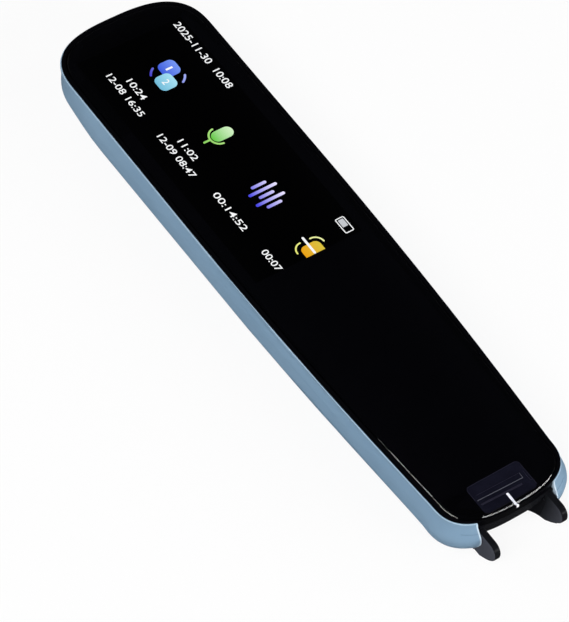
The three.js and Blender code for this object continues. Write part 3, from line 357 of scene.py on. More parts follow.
def rounded_rectangle(low_a, high_a, low_b, high_b, radius, steps=8):
    corners = [(high_a - radius, low_b + radius, -90), (high_a - radius, high_b - radius, 0),
               (low_a + radius, high_b - radius, 90), (low_a + radius, low_b + radius, 180)]
    return [point for a, b, start in corners for point in arc((a, b), radius, start, start + 90, steps)]


def slot_line(a, b, half_a, half_b, ease=0.01, steps=8):
    """A slot about a middle. The ease keeps each round end from closing to a single point."""
    radius = min(half_a, half_b) - ease
    return rounded_rectangle(a - half_a, a + half_a, b - half_b, b + half_b, radius, steps)


def final_mesh(made):
    """A copy of an object's mesh with its modifiers applied."""
    return bpy.data.meshes.new_from_object(made.evaluated_get(bpy.context.evaluated_depsgraph_get()))


def carved(base, tools, operation="DIFFERENCE"):
    """The base mesh cut by, joined to or kept within each tool mesh in turn."""
    holder, cutters = placed("carved", base), [placed("cutter", tool) for tool in tools]
    for cutter in cutters:
        step = holder.modifiers.new("cut", "BOOLEAN")
        step.operation, step.solver, step.object = operation, "MANIFOLD", cutter
    result = final_mesh(holder)
    for used in (holder, *cutters):
        bpy.data.objects.remove(used)
    return result


weld, flat_angle, sharp_angle = 0.001, math.radians(1), math.radians(30)


def rounded(mesh, picks, width, steps):
    """The mesh with the sharp edges that picks accepts turned to a small round."""
    work = bmesh.new()
    work.from_mesh(mesh)
    bmesh.ops.remove_doubles(work, verts=work.verts, dist=weld)
    bmesh.ops.dissolve_degenerate(work, edges=work.edges, dist=weld)
    bmesh.ops.dissolve_limit(work, angle_limit=flat_angle, verts=work.verts, edges=work.edges)
    chosen = [edge for edge in work.edges if len(edge.link_faces) == 2
              and edge.calc_face_angle(0) > sharp_angle and picks((edge.verts[0].co + edge.verts[1].co) / 2)]
    bmesh.ops.bevel(work, geom=chosen, offset=width, offset_type="OFFSET", segments=steps, profile=0.5,
                    affect="EDGES", clamp_overlap=True)
    return meshed(work)


def piece(name, mesh, material, body, slot, *nodes, crease=35):
    """A finished piece: smooth faces, sharp only past the crease angle, riding on its body."""
    mesh.transform(Matrix.Scale(MM, 4))
    mesh.materials.clear()
    mesh.materials.append(material)
    mesh.shade_smooth()
    mesh.set_sharp_from_angle(angle=math.radians(crease))
    mesh.name = name
    made = placed(name, mesh)
    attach(made, body)
    if nodes:
        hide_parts(*nodes)
    return made


def tray_rings(inset, bottom_radius):
    """The shell's side, round the back edge and up to the lip."""
    rings = []
    for step in range(back_steps + 1):
        angle = math.pi / 2 * step / back_steps
        z = back_radius - bottom_radius * math.cos(angle)
        rings.append(ring(z, shell_proud - back_radius + bottom_radius * math.sin(angle), swell_share(z)))
    for step in range(1, wall_steps + 1):
        z = back_radius + (lip_base - back_radius) * step / wall_steps
        rings.append(ring(z, shell_proud - inset, swell_share(z)))
    return rings


shoulder_z = shell_top - shoulder_radius
upper_rises = (0.35, 0.7)
outer_rings = tray_rings(0.0, back_radius)
for height in (*(lip_base + rise for rise in upper_rises), shoulder_z):
    outer_rings.append(ring(height, shell_proud, swell_share(height)))
for step in range(1, shoulder_steps + 1):
    angle = math.pi / 2 * step / shoulder_steps
    z = shoulder_z + shoulder_radius * math.sin(angle)
    out = shell_proud - shoulder_radius * (1 - math.cos(angle))
    outer_rings.append(ring(z, out, swell_share(z) * math.cos(angle)))
outer_tray = loft(outer_rings)
cavity = loft(tray_rings(shell_wall, back_radius - shell_wall))
lip_space = slab(lip_base - lip_overlap, body_height + overrun, -lip_reach)

# It is open at the tip, and a thin wall on each side of the opening closes the tray
tip_opening, opening_end, tip_wall, tip_wall_top = 9.6, -62.4, 1.2, 7.8
tip_limit = tip_y - overrun - tip_swell_high
block_half, block_end = tip_opening + tip_wall, opening_end + tip_wall
tip_block = carved(box_mesh(-block_half, block_half, tip_limit, block_end, 0, tip_wall_top),
                   [outer_tray.copy()], "INTERSECT")
shell = carved(outer_tray, [cavity, lip_space])
shell = carved(shell, [tip_block], "UNION")
shell = carved(shell, [
    box_mesh(-tip_opening, tip_opening, tip_limit, opening_end, -overrun, body_height + overrun),
    box_mesh(-tip_opening, tip_opening, opening_end - overrun, block_end + overrun, shell_wall, body_height)])

# The charging socket, a microphone hole, the speaker's slots and the power button open through it
usb_z, usb_half_width, usb_half_height, usb_fit, usb_ease, usb_cut_y = 4.48, 4.47, 1.58, 0.3, 0.02, 66.0
sound_hole, sound_radius, sound_cut_y = (-8.97, 3.4), 0.5, 68.8
speaker_y, speaker_slots, slot_pitch, slot_width, slot_length = -33.0, 5, 2.6, 1.0, 8.0
button_y, button_z, button_half_length, button_half_height, button_fit = -20.0, 4.4, 5.5, 1.1, 0.2
button_cut_low, button_cut_high = 14.5, 21.0
slot_places = [(place - (speaker_slots - 1) / 2) * slot_pitch for place in range(speaker_slots)]
usb_line = slot_line(0, usb_z, usb_half_width + usb_fit, usb_half_height + usb_fit, usb_ease)
button_line = slot_line(button_y, button_z, button_half_length + button_fit, button_half_height + button_fit)
shell = carved(shell, [
    prism(usb_line, usb_cut_y, far_y + overrun, "Y"),
    prism(circle(sound_hole, sound_radius), sound_cut_y, far_y + overrun, "Y"),
    *(prism(slot_line(x, speaker_y, slot_width / 2, slot_length / 2), -overrun, shell_wall + overrun)
      for x in slot_places),
    prism(button_line, button_cut_low, button_cut_high, "X")])

# A fine parting groove runs round each of the tip's corners
groove_z, groove_half, groove_depth, groove_length, groove_reach = 7.3, 0.05, 0.10, 3.4, 1.0
under_skin = loft([ring(z, shell_proud - groove_depth, swell_share(z))
                   for z in (groove_z - groove_reach, groove_z + groove_reach)])
grooves = []
for side in (-1, 1):
    low_x, high_x = sorted((side * tip_opening, side * (tip_opening + groove_length)))
    groove = box_mesh(low_x, high_x, tip_limit, opening_end, groove_z - groove_half, groove_z + groove_half)
    grooves.append(carved(groove, [under_skin.copy()]))
shell = carved(shell, grooves)
wall_end_round, wall_end_steps, wall_end_fit, wall_end_reach = 0.3, 4, 0.02, 1.0


def wall_ends(point):
    """The ends of the blue walls beside the tip, outside the black frame's line."""
    return abs(abs(point.x) - tip_opening) < wall_end_fit and point.y < opening_end + wall_end_reach


shell = rounded(shell, wall_ends, wall_end_round, wall_end_steps)


def colour(*levels):
    """A screen colour from 0 to 255, as the linear light that a shader takes."""
    shares = [level / 255 for level in levels]
    return tuple(share / 12.92 if share <= 0.04045 else ((share + 0.055) / 1.055) ** 2.4 for share in shares)


def relief(height, strength, depth):
    """A fine relief for a shader's normal, with its depth in millimetres."""
    return height.make("ShaderNodeBump", Height=height, Strength=strength, Distance=depth * MM)


def surface(material, place, **sockets):
    """Ends a material in a plain surface with these sockets."""
    return shown(material, place.make("ShaderNodeBsdfPrincipled", **sockets))


# The satin has a fine grain, and the ends of the two walls carry a paler painted highlight
highlight_reach, highlight_blend, highlight_from_y = 0.36, 0.12, -72.0
highlight_deep, highlight_light = colour(176, 199, 217), colour(212, 226, 238)
satin, place = new_material("shell_blue_satin")
cloud, grain = place.noise(0.05, 2.0), place.noise(5.0, 4.0, Roughness=0.6)
pits = place.make("ShaderNodeTexVoronoi", {"feature": "F1"}, Vector=place, Scale=3.2)
tint = (cloud * 0.6 + grain * 0.25 + 0.08).blended(colour(103, 133, 158), colour(128, 156, 179))
across = place.maths("ABSOLUTE", place.part(0))
# Painted highlight: the wall ends beside the tip's opening are coloured paler, as if they caught the light
end_highlight = ((tip_opening + highlight_reach - across) / highlight_blend).clamped() * (highlight_from_y - place.part(1)).clamped()
tint = end_highlight.blended(tint, grain.blended(highlight_deep, highlight_light))
surface(satin, place, Base_Color=tint, Roughness=grain * 0.14 + 0.38, IOR=1.47,
        Normal=relief(grain * 0.7 + pits * 0.3, 0.12, 0.04))
shell_piece = piece("shell_tray", shell, satin, "body", "shell_blue", "back_shell")

# The round of its lip carries a paler painted highlight
lip_from_z, lip_steepest, lip_flattest = shoulder_z + 0.02, 0.25, 0.97
pale, place = new_material("shell_blue_edge")
grain = place.noise(1.2, 3.0)
surface(pale, place, Base_Color=grain.blended(colour(138, 165, 188), highlight_deep), Roughness=grain * 0.1 + 0.34,
        IOR=1.47)
shell_piece.data.materials.append(pale)
# Painted highlight: the lip's upward-sloping faces take the paler copy of the blue
for face in shell_piece.data.polygons:
    if face.center.z > lip_from_z * MM and lip_steepest < face.normal.z < lip_flattest:
        face.material_index = 1


# Middle frame
# One moulding of glossy black plastic: the thin rim round the glass, the ledge that the glass is
# glued to, the display's pocket and the screw bosses over the main board.
rim_top, rim_width, rim_round, rim_round_steps = 9.8, 0.9, 0.2, 5
ledge_z, web_top, web_bottom, plate_bottom, tip_plate_bottom = 8.75, 7.0, 6.2, 7.75, 8.0
skirt_inset, lip_inset, lip_fit = 1.1, 0.3, 0.1
front_gain = 0.6
rim_rings = [ring(z, -inset) for z, inset in (
    (web_bottom, skirt_inset), (lip_base + lip_fit, skirt_inset), (lip_base + lip_fit, lip_inset),
    (shell_top, lip_inset), (shell_top, 0.0), (rim_top - rim_round, 0.0))]
for step in range(1, rim_round_steps + 1):
    angle = math.pi / 2 * step / rim_round_steps
    rim_rings.append(ring(rim_top - rim_round * (1 - math.sin(angle)), -rim_round * (1 - math.cos(angle))))
glass_seat = slab(ledge_z, body_height + overrun, -rim_width, front_gain)

# The display's pocket, the bay over the board, and room for the reader at the tip
panel_half, panel_near, panel_far, panel_gap, pocket_radius = 14.3, -5.5, 68.1, 0.3, 1.0
bay_wall, bay_front = 1.2, -60.3
bay_rear = panel_near - panel_gap - bay_wall
bay = carved(slab(web_bottom - overrun, plate_bottom, -skirt_inset - bay_wall),
             [box_mesh(-body_width, body_width, bay_front, bay_rear, 0, body_height)], "INTERSECT")
pocket_line = rounded_rectangle(-panel_half - panel_gap, panel_half + panel_gap,
                                panel_near - panel_gap, panel_far + panel_gap, pocket_radius)
rim = carved(loft(rim_rings), [
    glass_seat, prism(pocket_line, web_top, body_height), bay,
    box_mesh(-body_width, body_width, tip_y - overrun, bay_front + overrun / 2, 0, tip_plate_bottom)])

# The front edge drops between the scan foot's two legs
leg_side, leg_thickness = 8.45, 1.9
leg_edge = leg_side + leg_thickness / 2
between_legs = box_mesh(-leg_edge, leg_edge, tip_y - overrun, tip_round_y, 0, body_height)
front_edge = carved(slab(tip_plate_bottom, shell_top, 0.0), [between_legs], "INTERSECT")
rim = carved(rim, [carved(front_edge, [glass_seat.copy()])], "UNION")

# The window's opening, a slot for the display's flex, the screw bosses and the springs' end stops
window_half, window_rear, window_radius, window_margin = 6.7, -64.8, 1.2, 1.0
window_front = tip_y + rim_width + window_margin
flex_half, flex_near, flex_far = 4.5, -5.5, -3.3
screw_x, screw_rows = 10.6, (-53.6, -8.4)
screw_places = [(side * screw_x, y) for y in screw_rows for side in (-1, 1)]
boss_radius, boss_bore, boss_foot, boss_root = 1.9, 0.95, 4.7, 0.5
stop_near, stop_far, stop_low, stop_high = -58.6, -57.6, 4.0, 8.4
rim = carved(rim, [
    prism(rounded_rectangle(-window_half, window_half, window_front, window_rear, window_radius),
          0, body_height),
    box_mesh(-flex_half, flex_half, flex_near, flex_far, 0, web_top + panel_gap)])
rim = carved(rim, [prism(circle(place, boss_radius), boss_foot, plate_bottom + boss_root)
                   for place in screw_places], "UNION")
rim = carved(rim, [prism(circle(place, boss_bore), 0, plate_bottom) for place in screw_places])
rim = carved(rim, [box_mesh(side * leg_side - leg_thickness / 2, side * leg_side + leg_thickness / 2,
                            stop_near, stop_far, stop_low, stop_high) for side in (-1, 1)], "UNION")


def glossy_black(name, low, high, roughness, strength, gloss):
    """Black moulded plastic: a faint flow of tone, and the mould's fine polish as relief."""
    material, place = new_material(name)
    flow, polish = place.noise(0.12, 2.0), place.noise(7.0, 3.0)
    return surface(material, place, Base_Color=flow.blended(low, high), Roughness=polish * 0.10 + roughness,
                   Normal=relief(polish, strength, 0.03), IOR=1.48, Specular_IOR_Level=gloss)


rim_black = glossy_black("frame_black", (0.0012, 0.0012, 0.0018), (0.0022, 0.0022, 0.0030),
                         roughness=0.25, strength=0.05, gloss=0.03)
piece("frame_rim", rim, rim_black, "body", "black_plastic", "mid_frame")


# Cover glass
# A sheet of toughened glass with its upper edge ground to a slope and polished, glued on its ledge.
# It is clear: what looks black is the print behind it. Its flat top is coated against glare.
glass_bottom, glass_edge, glass_inset, edge_ease = 9.0, 0.5, 1.0, 0.06
ease_share = 0.3
glass_index = 1.5
coating_from, coating_share = 0.985, 0.6
edge_bottom = body_height - glass_edge
glass_profile = [(0.0, glass_bottom), (0.0, edge_bottom - edge_ease), (edge_ease * ease_share, edge_bottom),
                 (edge_ease, edge_bottom + edge_ease), (glass_edge - edge_ease, body_height - edge_ease),
                 (glass_edge, body_height - edge_ease * ease_share), (glass_edge + edge_ease, body_height)]
pane = loft([ring(z, -glass_inset - inward, front=front_gain) for inward, z in glass_profile])
polished, place = new_material("cover_glass_clear")
smear, facing = place.noise(0.06, 4.0), place.make("ShaderNodeFresnel", IOR=glass_index)
clear = place.make("ShaderNodeBsdfTransparent", Color=(0.97, 0.975, 0.98))
mirror = place.make("ShaderNodeBsdfGlossy", Color=(1, 1, 1), Roughness=smear * 0.02 + 0.015)
inside = place.make("ShaderNodeNewGeometry", output="Backfacing")
upright = place.make("ShaderNodeTexCoord", output="Normal").part(2)
coated = ((upright - coating_from) / (1 - coating_from)).clamped() * coating_share
mirrored = facing * (1 - inside) * (1 - coated)
shown(polished, place.make("ShaderNodeMixShader", _0=mirrored, _1=clear, _2=mirror))
piece("glass_pane", pane, polished, "body", "cover_glass", "cover_glass", crease=25)


# Black print
# An opaque ink layer printed on the back of the glass. It is left open over the display and over
# the smoked window.
def dress(material, *nodes):
    """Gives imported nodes, whose shape stays, a finish."""
    for node in nodes:
        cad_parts[node].data.materials.clear()
        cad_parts[node].data.materials.append(material)


ink, place = new_material("print_ink")
cloud = place.noise(0.2, 3.0)
surface(ink, place, Base_Color=cloud.blended((0.0006, 0.0006, 0.0011), (0.0009, 0.0009, 0.0016)),
        Roughness=cloud * 0.1 + 0.6, Specular_IOR_Level=0.02)
dress(ink, "mask_film")


# Scan window
# A smoked clear insert fills the opening in the print at the tip. Its moulded ribs and its edges show as thin
# pale lines of painted highlight, and a white mark printed on its middle shows where the pen reads.
insert_low, insert_high, insert_fit = 8.91, 8.95, 0.04
smoke, place = new_material("window_smoke")
cloud = place.noise(0.25, 2.0)
tinted = place.make("ShaderNodeBsdfTransparent", Color=(0.13, 0.13, 0.17))
haze = place.make("ShaderNodeBsdfPrincipled", Roughness=1.0, Specular_IOR_Level=0.0,
                  Base_Color=cloud.blended((0.008, 0.008, 0.018), (0.022, 0.022, 0.042)))
shown(smoke, place.make("ShaderNodeMixShader", _0=cloud * 0.2 + 0.42, _1=tinted, _2=haze))
insert_half = window_half - insert_fit
insert_line = rounded_rectangle(-insert_half, insert_half, window_front + insert_fit,
                                window_rear - insert_fit, window_radius - insert_fit)
piece("window_insert", prism(insert_line, insert_low, insert_high), smoke, "body", "clear_plastic")


def strip(start, end, width, low, high):
    """A straight thin strip between two places, with square ends."""
    start, end = Vector(start), Vector(end)
    along = (end - start).normalized()
    side = Vector((-along.y, along.x)) * width / 2
    return prism([start - side, end - side, end + side, start + side], low, high)


def joined(meshes):
    """Several closed meshes as one."""
    whole = bmesh.new()
    for mesh in meshes:
        whole.from_mesh(mesh)
    return meshed(whole)


rib_low, rib_high = 8.955, 8.985


def window_lines(name, low, high, lines):
    """Thin strips coloured pale as a painted highlight of the light that clear edges gather, a little uneven
    along their length.
    """
    material, place = new_material(name)
    streak = place.noise(0.7, 2.0)
    surface(material, place, Base_Color=streak.blended(low, high), Roughness=streak * 0.1 + 0.4,
            Specular_IOR_Level=0.2)
    strips = [strip(start, end, width, rib_low, rib_high) for start, end, width in lines]
    piece(f"window_{name}", joined(strips), material, "body", "clear_plastic")


rib_left, rib_right, rib_y = -6.2, 5.0, -68.7
fine, wide, edge_width = 0.10, 0.45, 0.11
# Painted highlights along the ribs and edges: the bright lines here, the faint ones below
window_lines("rib_bright", (0.085, 0.085, 0.105), (0.17, 0.17, 0.20), [
    ((rib_left, rib_y + 0.2), (rib_right, rib_y - 0.15), 0.13),
    ((rib_right, rib_y - 0.15), (rib_right + 0.1, rib_y + 1.15), fine)])
edge_inset, edge_radius = 0.12, 0.9
edge_half, edge_rear = window_half - edge_inset, window_rear - edge_inset
edge_run = ([(-edge_half, rib_y + 0.4)]
            + arc((-edge_half + edge_radius, edge_rear - edge_radius), edge_radius, 180, 90, 8)
            + arc((edge_half - edge_radius, edge_rear - edge_radius), edge_radius, 90, 0, 8)
            + [(edge_half, window_front + 0.6)])
window_lines("rib_faint", (0.013, 0.012, 0.022), (0.026, 0.024, 0.040), [
    ((rib_left + 0.1, rib_y - 0.95), (rib_right - 1.0, rib_y - 1.25), wide),
    ((rib_left + 0.6, rib_y + 1.35), (rib_right + 0.1, rib_y + 1.15), fine),
    ((rib_right + 1.0, rib_y + 1.2), (rib_right + 1.0, rib_y - 1.4), fine),
    ((rib_right + 1.0, rib_y - 1.4), (window_half - 0.2, rib_y - 1.5), fine),
    *((start, end, edge_width) for start, end in zip(edge_run, edge_run[1:]))])

# The white mark runs over the window's front and down the rim
aim_half, aim_rear, aim_fit, aim_overlap = 0.28, -70.15, 0.002, 0.05
aim_white_glow, place = new_material("aim_white_glow")
stipple = place.make("ShaderNodeTexVoronoi", Vector=place, Scale=2.4)
# The white print also glows faintly from its emission: painted light on top of the print's own colour
surface(aim_white_glow, place, Base_Color=stipple.blended((0.93, 0.93, 0.96), (0.66, 0.66, 0.74)),
        Roughness=stipple * 0.1 + 0.45, Emission_Strength=1.0,
        Emission_Color=stipple.blended((0.34, 0.34, 0.36), (0.12, 0.12, 0.14)))
glass_front = tip_y + glass_inset - front_gain
piece("aim_mark_glass", strip((0, aim_rear), (0, glass_front + aim_overlap), 2 * aim_half, rib_high + aim_fit,
                              glass_bottom - aim_fit / 2), aim_white_glow, "body", "black_print")
paint_over, paint_under, paint_drop, paint_shift = 0.03, -0.02, 0.2, -0.3
paint_line = []
for out in (paint_over, paint_under):
    run = [(tip_y + rim_width - front_gain, rim_top + out),
           *arc((tip_y + rim_round, rim_top - rim_round), rim_round + out, 90, 180, 5),
           (tip_y - out, shell_top - paint_drop)]
    paint_line += run if out > 0 else reversed(run)
piece("aim_mark_rim", prism(paint_line, paint_shift - aim_half, paint_shift + aim_half, "X"), aim_white_glow,
      "body", "black_print")


# Scan foot
# One moulding of glossy black plastic that slides in when the tip is pressed on the page: two
# tongues that straddle the line of print, the bar between them, and the rails behind them.
rail_top, rail_bottom, rail_rear = 7.4, 0.4, -63.6
pusher_rear, pusher_low, pusher_high, pusher_overlap = -59.6, 1.6, 3.4, 1.0
nose_y, nose_z, nose_radius, nose_end, nose_steps = -77.05, 4.5, 2.35, 215, 20
chin_radius, chin_steps, sole_slope, sole_steps = 6.0, 6, 31.0, 6
tongue_root, root_overlap, tongue_inner, tongue_top = -72.6, 0.9, 7.6, nose_z + nose_radius
tongue_round, tongue_round_steps = 0.42, 6
bar_top, bar_bottom, bar_thickness, bar_fillet, bar_fillet_steps = 7.8, 5.2, 1.3, 0.5, 6
flare_stations = [
    # along the pen, how near the middle the flare reaches, its top
    (-71.6, 5.4, 6.1), (-72.5, 6.0, 6.1), (-73.3, 6.45, 6.1), (-74.2, 6.8, 6.1), (-75.6, 7.1, 6.1),
    (-77.0, 7.35, 5.5), (-78.3, 7.62, 4.1)]
flare_steps, flare_skin, flare_depth, flare_lift = 7, 0.02, 0.4, 0.05


def tongue_line():
    """The side view of a tongue as (y, z): flat on top, round at its tip, rising underneath."""
    away, reach = math.radians(nose_end), nose_radius - chin_radius
    chin = (nose_y + reach * math.cos(away), nose_z + reach * math.sin(away))
    points = [(tongue_root, rail_bottom), (tongue_root, tongue_top)]
    points += arc((nose_y, nose_z), nose_radius, 90, nose_end, nose_steps)
    points += arc(chin, chin_radius, nose_end, 270 - sole_slope, chin_steps)[1:]
    under = points[-1]
    sole = (under[0] + (under[1] - rail_bottom) / math.tan(math.radians(sole_slope)), rail_bottom)
    points += [(under[0] + (sole[0] - under[0]) * step / sole_steps,
                under[1] + (sole[1] - under[1]) * step / sole_steps) for step in range(1, sole_steps + 1)]
    return points


def shrunk(points, inset):
    """A convex outline, clockwise or not, moved inwards by an inset."""
    area = sum(a[0] * b[1] - b[0] * a[1] for a, b in zip(points, points[1:] + points[:1]))
    inward, moved = math.copysign(1, area), []
    for place, here in enumerate(map(Vector, points)):
        before, after = Vector(points[place - 1]), Vector(points[(place + 1) % len(points)])
        first = Vector((before.y - here.y, here.x - before.x)).normalized() * inward
        second = Vector((here.y - after.y, after.x - here.x)).normalized() * inward
        middle = (first + second).normalized()
        moved.append(tuple(here + middle * (inset / middle.dot(first))))
    return moved


def tongue(side):
    """A tongue whose edges are rounded on both sides."""
    layers = []
    for step in range(tongue_round_steps + 1):
        angle = math.pi / 2 * step / tongue_round_steps
        layers.append((tongue_round * (1 - math.sin(angle)), tongue_round * (1 - math.cos(angle))))
    low_x, high_x = sorted((side * tongue_inner, side * leg_edge))
    rows = [(low_x + depth, inset) for inset, depth in layers]
    rows += [(high_x - depth, inset) for inset, depth in reversed(layers)]
    return loft([[(x, y, z) for y, z in shrunk(tongue_line(), inset)] for x, inset in rows])


def flare(side):
    """The hollow foot of a tongue's inner face, wide at its sole and behind the bar."""
    under = sorted((y, z) for y, z in tongue_line() if z < nose_z and y < tongue_root)
    skin_x, deep_x = tongue_inner + flare_skin, tongue_inner + flare_depth
    loops = []
    for y, low_x, top in flare_stations:
        low_z = rail_bottom
        for (near, low), (far, high) in zip(under, under[1:]):
            if near <= y <= far and far > near:
                low_z = low + (high - low) * (y - near) / (far - near)
        low_z += flare_lift
        run = [(skin_x - (skin_x - low_x) * (1 - step / flare_steps) ** 2,
                low_z + (top - low_z) * step / flare_steps) for step in range(flare_steps + 1)]
        loops.append([(side * x, y, z) for x, z in run + [(deep_x, top), (deep_x, low_z)]])
    return loft(loops)


foot_low, fillet_x = bar_bottom - bar_fillet, tongue_inner - bar_fillet
bar_line = [(-leg_edge, bar_top), (-leg_edge, foot_low), (-tongue_inner, foot_low),
            *arc((-fillet_x, foot_low), bar_fillet, 180, 90, bar_fillet_steps),
            *arc((fillet_x, foot_low), bar_fillet, 90, 0, bar_fillet_steps),
            (tongue_inner, foot_low), (leg_edge, foot_low), (leg_edge, bar_top)]
foot = carved(prism(bar_line, tip_y - overrun, tip_round_y, "Y"), [slab(0, body_height, 0.0)], "INTERSECT")
foot = carved(foot, [slab(-overrun, body_height + overrun, -bar_thickness)])
for side in (-1, 1):
    low_x, high_x = side * leg_side - leg_thickness / 2, side * leg_side + leg_thickness / 2
    foot = carved(foot, [
        flare(side), tongue(side),
        box_mesh(low_x, high_x, tongue_root - root_overlap, rail_rear, rail_bottom, rail_top),
        box_mesh(low_x, high_x, rail_rear - pusher_overlap, pusher_rear, pusher_low, pusher_high)], "UNION")
foot_black = glossy_black("foot_black", (0.0055, 0.0058, 0.0072), (0.0090, 0.0094, 0.0114),
                          roughness=0.16, strength=0.03, gloss=0.06)
foot_piece = piece("foot_tongues", foot, foot_black, "foot", "black_plastic", "scan_foot", crease=40)

# The tongues' side faces keep the fine matt texture of the mould, under a painted shade that darkens them
# towards their roots, over a longer stretch on the inner faces
matt_deep, matt_light = (0.038, 0.041, 0.052), (0.058, 0.061, 0.077)
painted_shade_deep, painted_shade_light = (0.005, 0.006, 0.008), (0.009, 0.010, 0.012)


def spark_finish(name, root_y, tip_end_y):
    """The matt finish with painted shade: dark at one place along the tongue, fading to the full finish at
    another.
    """
    material, place = new_material(name)
    spark = place.noise(9.0, 4.0, Roughness=0.7)
    share = ((place.part(1) - root_y) / (tip_end_y - root_y)).clamped()
    # Painted shade: the tint runs from the dark shade colours at root_y to the full matt finish at tip_end_y
    tint = share.blended(spark.blended(painted_shade_deep, painted_shade_light), spark.blended(matt_deep, matt_light))
    return surface(material, place, Base_Color=tint, Roughness=spark * 0.1 + 0.5,
                   Normal=relief(spark, 0.25, 0.04), Specular_IOR_Level=0.15)


side_facing, matt_start_y = 0.6, tip_y - 0.2
# The inner faces beside the bar take the painted shade over a longer stretch than the outer faces
for name, root_y, tip_end_y in (("foot_matt_outer", -71.0, -73.0), ("foot_matt_inner", -74.0, -79.5)):
    foot_piece.data.materials.append(spark_finish(name, root_y, tip_end_y))
for face in foot_piece.data.polygons:
    if abs(face.normal.x) > side_facing and face.center.y < matt_start_y * MM:
        face.material_index = 1 if face.normal.x * face.center.x > 0 else 2


# Display
# A lit colour panel behind the glass, in the frame's pocket. It shows a list of round-cornered
# symbols, each with a line or two of plain figures, the date and time, and a battery mark.
panel_black, place = new_material("panel_black")
dots = place.make("ShaderNodeTexChecker", Vector=place, Scale=10.0,
                  Color1=(0.00005, 0.00005, 0.00006), Color2=(0.00012, 0.00012, 0.00014))
surface(panel_black, place, Base_Color=dots, Roughness=0.6, Specular_IOR_Level=0.0)
dress(panel_black, "display_panel")

panel_top, lit_gap, lit_thickness, lit_strength, dot_size = 8.9, 0.01, 0.02, 1.12, 0.1
lit_low = panel_top + lit_gap


def lit(name, low, high=None, span=(0.0, 1.0)):
    """A lit colour, or a ramp between two across the pen, over a span of places."""
    material, place = new_material(name)
    if high is None:
        dot = place.make("ShaderNodeVectorMath", {"operation": "SNAP"}, _0=place, _1=(dot_size,) * 3)
        glow = (place.make("ShaderNodeTexWhiteNoise", Vector=dot) * 0.03 + 0.97).blended(black, low)
    else:
        glow = ((place.part(0) - span[0]) / (span[1] - span[0])).clamped().blended(low, high)
    return surface(material, place, Base_Color=black, Roughness=0.5, Emission_Color=glow,
                   Emission_Strength=lit_strength, Specular_IOR_Level=0.0)


def lit_piece(name, outlines, material, level=0):
    """Flat shapes on the panel, each an outline of (x, y) places, in a stack of thin levels."""
    low = lit_low + level * lit_thickness
    shapes = joined([prism(points, low, low + lit_thickness) for points in outlines])
    return piece(name, shapes, material, "body", "display")


def band(points, width):
    """A line of even width with round ends, as a closed outline."""
    half = width / 2
    left, right = [], []
    for place, point in enumerate(points):
        before, after = Vector(points[max(0, place - 1)]), Vector(points[min(len(points) - 1, place + 1)])
        along = (after - before).normalized()
        side = Vector((-along.y, along.x)) * half
        left.append(tuple(Vector(point) + side))
        right.append(tuple(Vector(point) - side))
    first, last = Vector(points[0]), Vector(points[-1])
    end_turn = math.degrees(math.atan2(left[-1][1] - last.y, left[-1][0] - last.x))
    start_turn = math.degrees(math.atan2(right[0][1] - first.y, right[0][0] - first.x))
    return (left + arc(last, half, end_turn, end_turn - 180, 8)[1:-1] + right[::-1]
            + arc(first, half, start_turn, start_turn - 180, 8)[1:-1])


stroke_gain = 0.004


def figures(name, text, height, middle, length, level=0):
    """A line of plain white figures, brought to a height and a length, that reads towards the tip."""
    font = bpy.data.curves.new(name, "FONT")
    font.body, font.extrude, font.offset = text, 0.5, stroke_gain
    drawn = placed(name, font)
    mesh = final_mesh(drawn)
    bpy.data.objects.remove(drawn)
    places = [vertex.co for vertex in mesh.vertices]
    low = Vector([min(place[axis] for place in places) for axis in range(3)])
    high = Vector([max(place[axis] for place in places) for axis in range(3)])
    size = high - low
    mesh.transform(Matrix.Translation(-(low + high) / 2))
    mesh.transform(Matrix.Diagonal((length / size.x, height / size.y, lit_thickness / size.z, 1)))
    mesh.transform(Matrix.Rotation(-math.pi / 2, 4, "Z"))
    mesh.transform(Matrix.Translation((*middle, lit_low + (level + 0.5) * lit_thickness)))
    return piece(name, mesh, white_light, "body", "display")


white_light = lit("lit_white", colour(248, 248, 248))
for name, text, height, middle, length in (
        ("date", "2025-11-30  10:08", 1.75, (11.8, 55.5), 21.2),
        ("scan_top", "10:24", 1.6, (-6.1, 54.6), 6.2), ("scan_low", "12-08 16:35", 1.6, (-9.1, 54.5), 13.2),
        ("voice_top", "11:02", 1.6, (-5.9, 35.1), 6.2), ("voice_low", "12-09 08:47", 1.6, (-8.9, 35.0), 13.2),
        ("sound", "00:14:52", 1.6, (-7.5, 16.8), 11.4), ("book", "00:07", 1.6, (-7.3, 1.8), 6.0)):
    figures(f"figures_{name}", text, height, middle, length)

# Two overlapping cards with a swap mark at each side
royal = lit("lit_royal", colour(58, 88, 214), colour(118, 150, 240), (1.0, 5.4))
cyan = lit("lit_cyan", colour(112, 184, 212), colour(164, 220, 238), (-1.7, 2.5))
swap_blue = lit("lit_swap", colour(74, 70, 200), colour(160, 172, 240), (-1.2, 5.2))
card_half, card_radius, card_figure = 2.15, 1.35, 1.7
for name, (x, y), shade, figure, length, level in (
        ("back", (3.2, 56.0), royal, "1", 0.5, 0), ("front", (0.45, 53.15), cyan, "2", 1.0, 1)):
    lit_piece(f"card_{name}", [rounded_rectangle(
        x - card_half, x + card_half, y - card_half, y + card_half, card_radius)], shade, level)
    figures(f"card_{name}_figure", figure, card_figure, (x, y), length, level + 1)
card_middle, swap_radius, swap_turn, swap_width = (1.9, 54.55), 3.7, 32, 0.5
lit_piece("card_swaps", [band(arc(card_middle, swap_radius, start, start + swap_turn, 8), swap_width)
                         for start in (119, -61)], swap_blue)

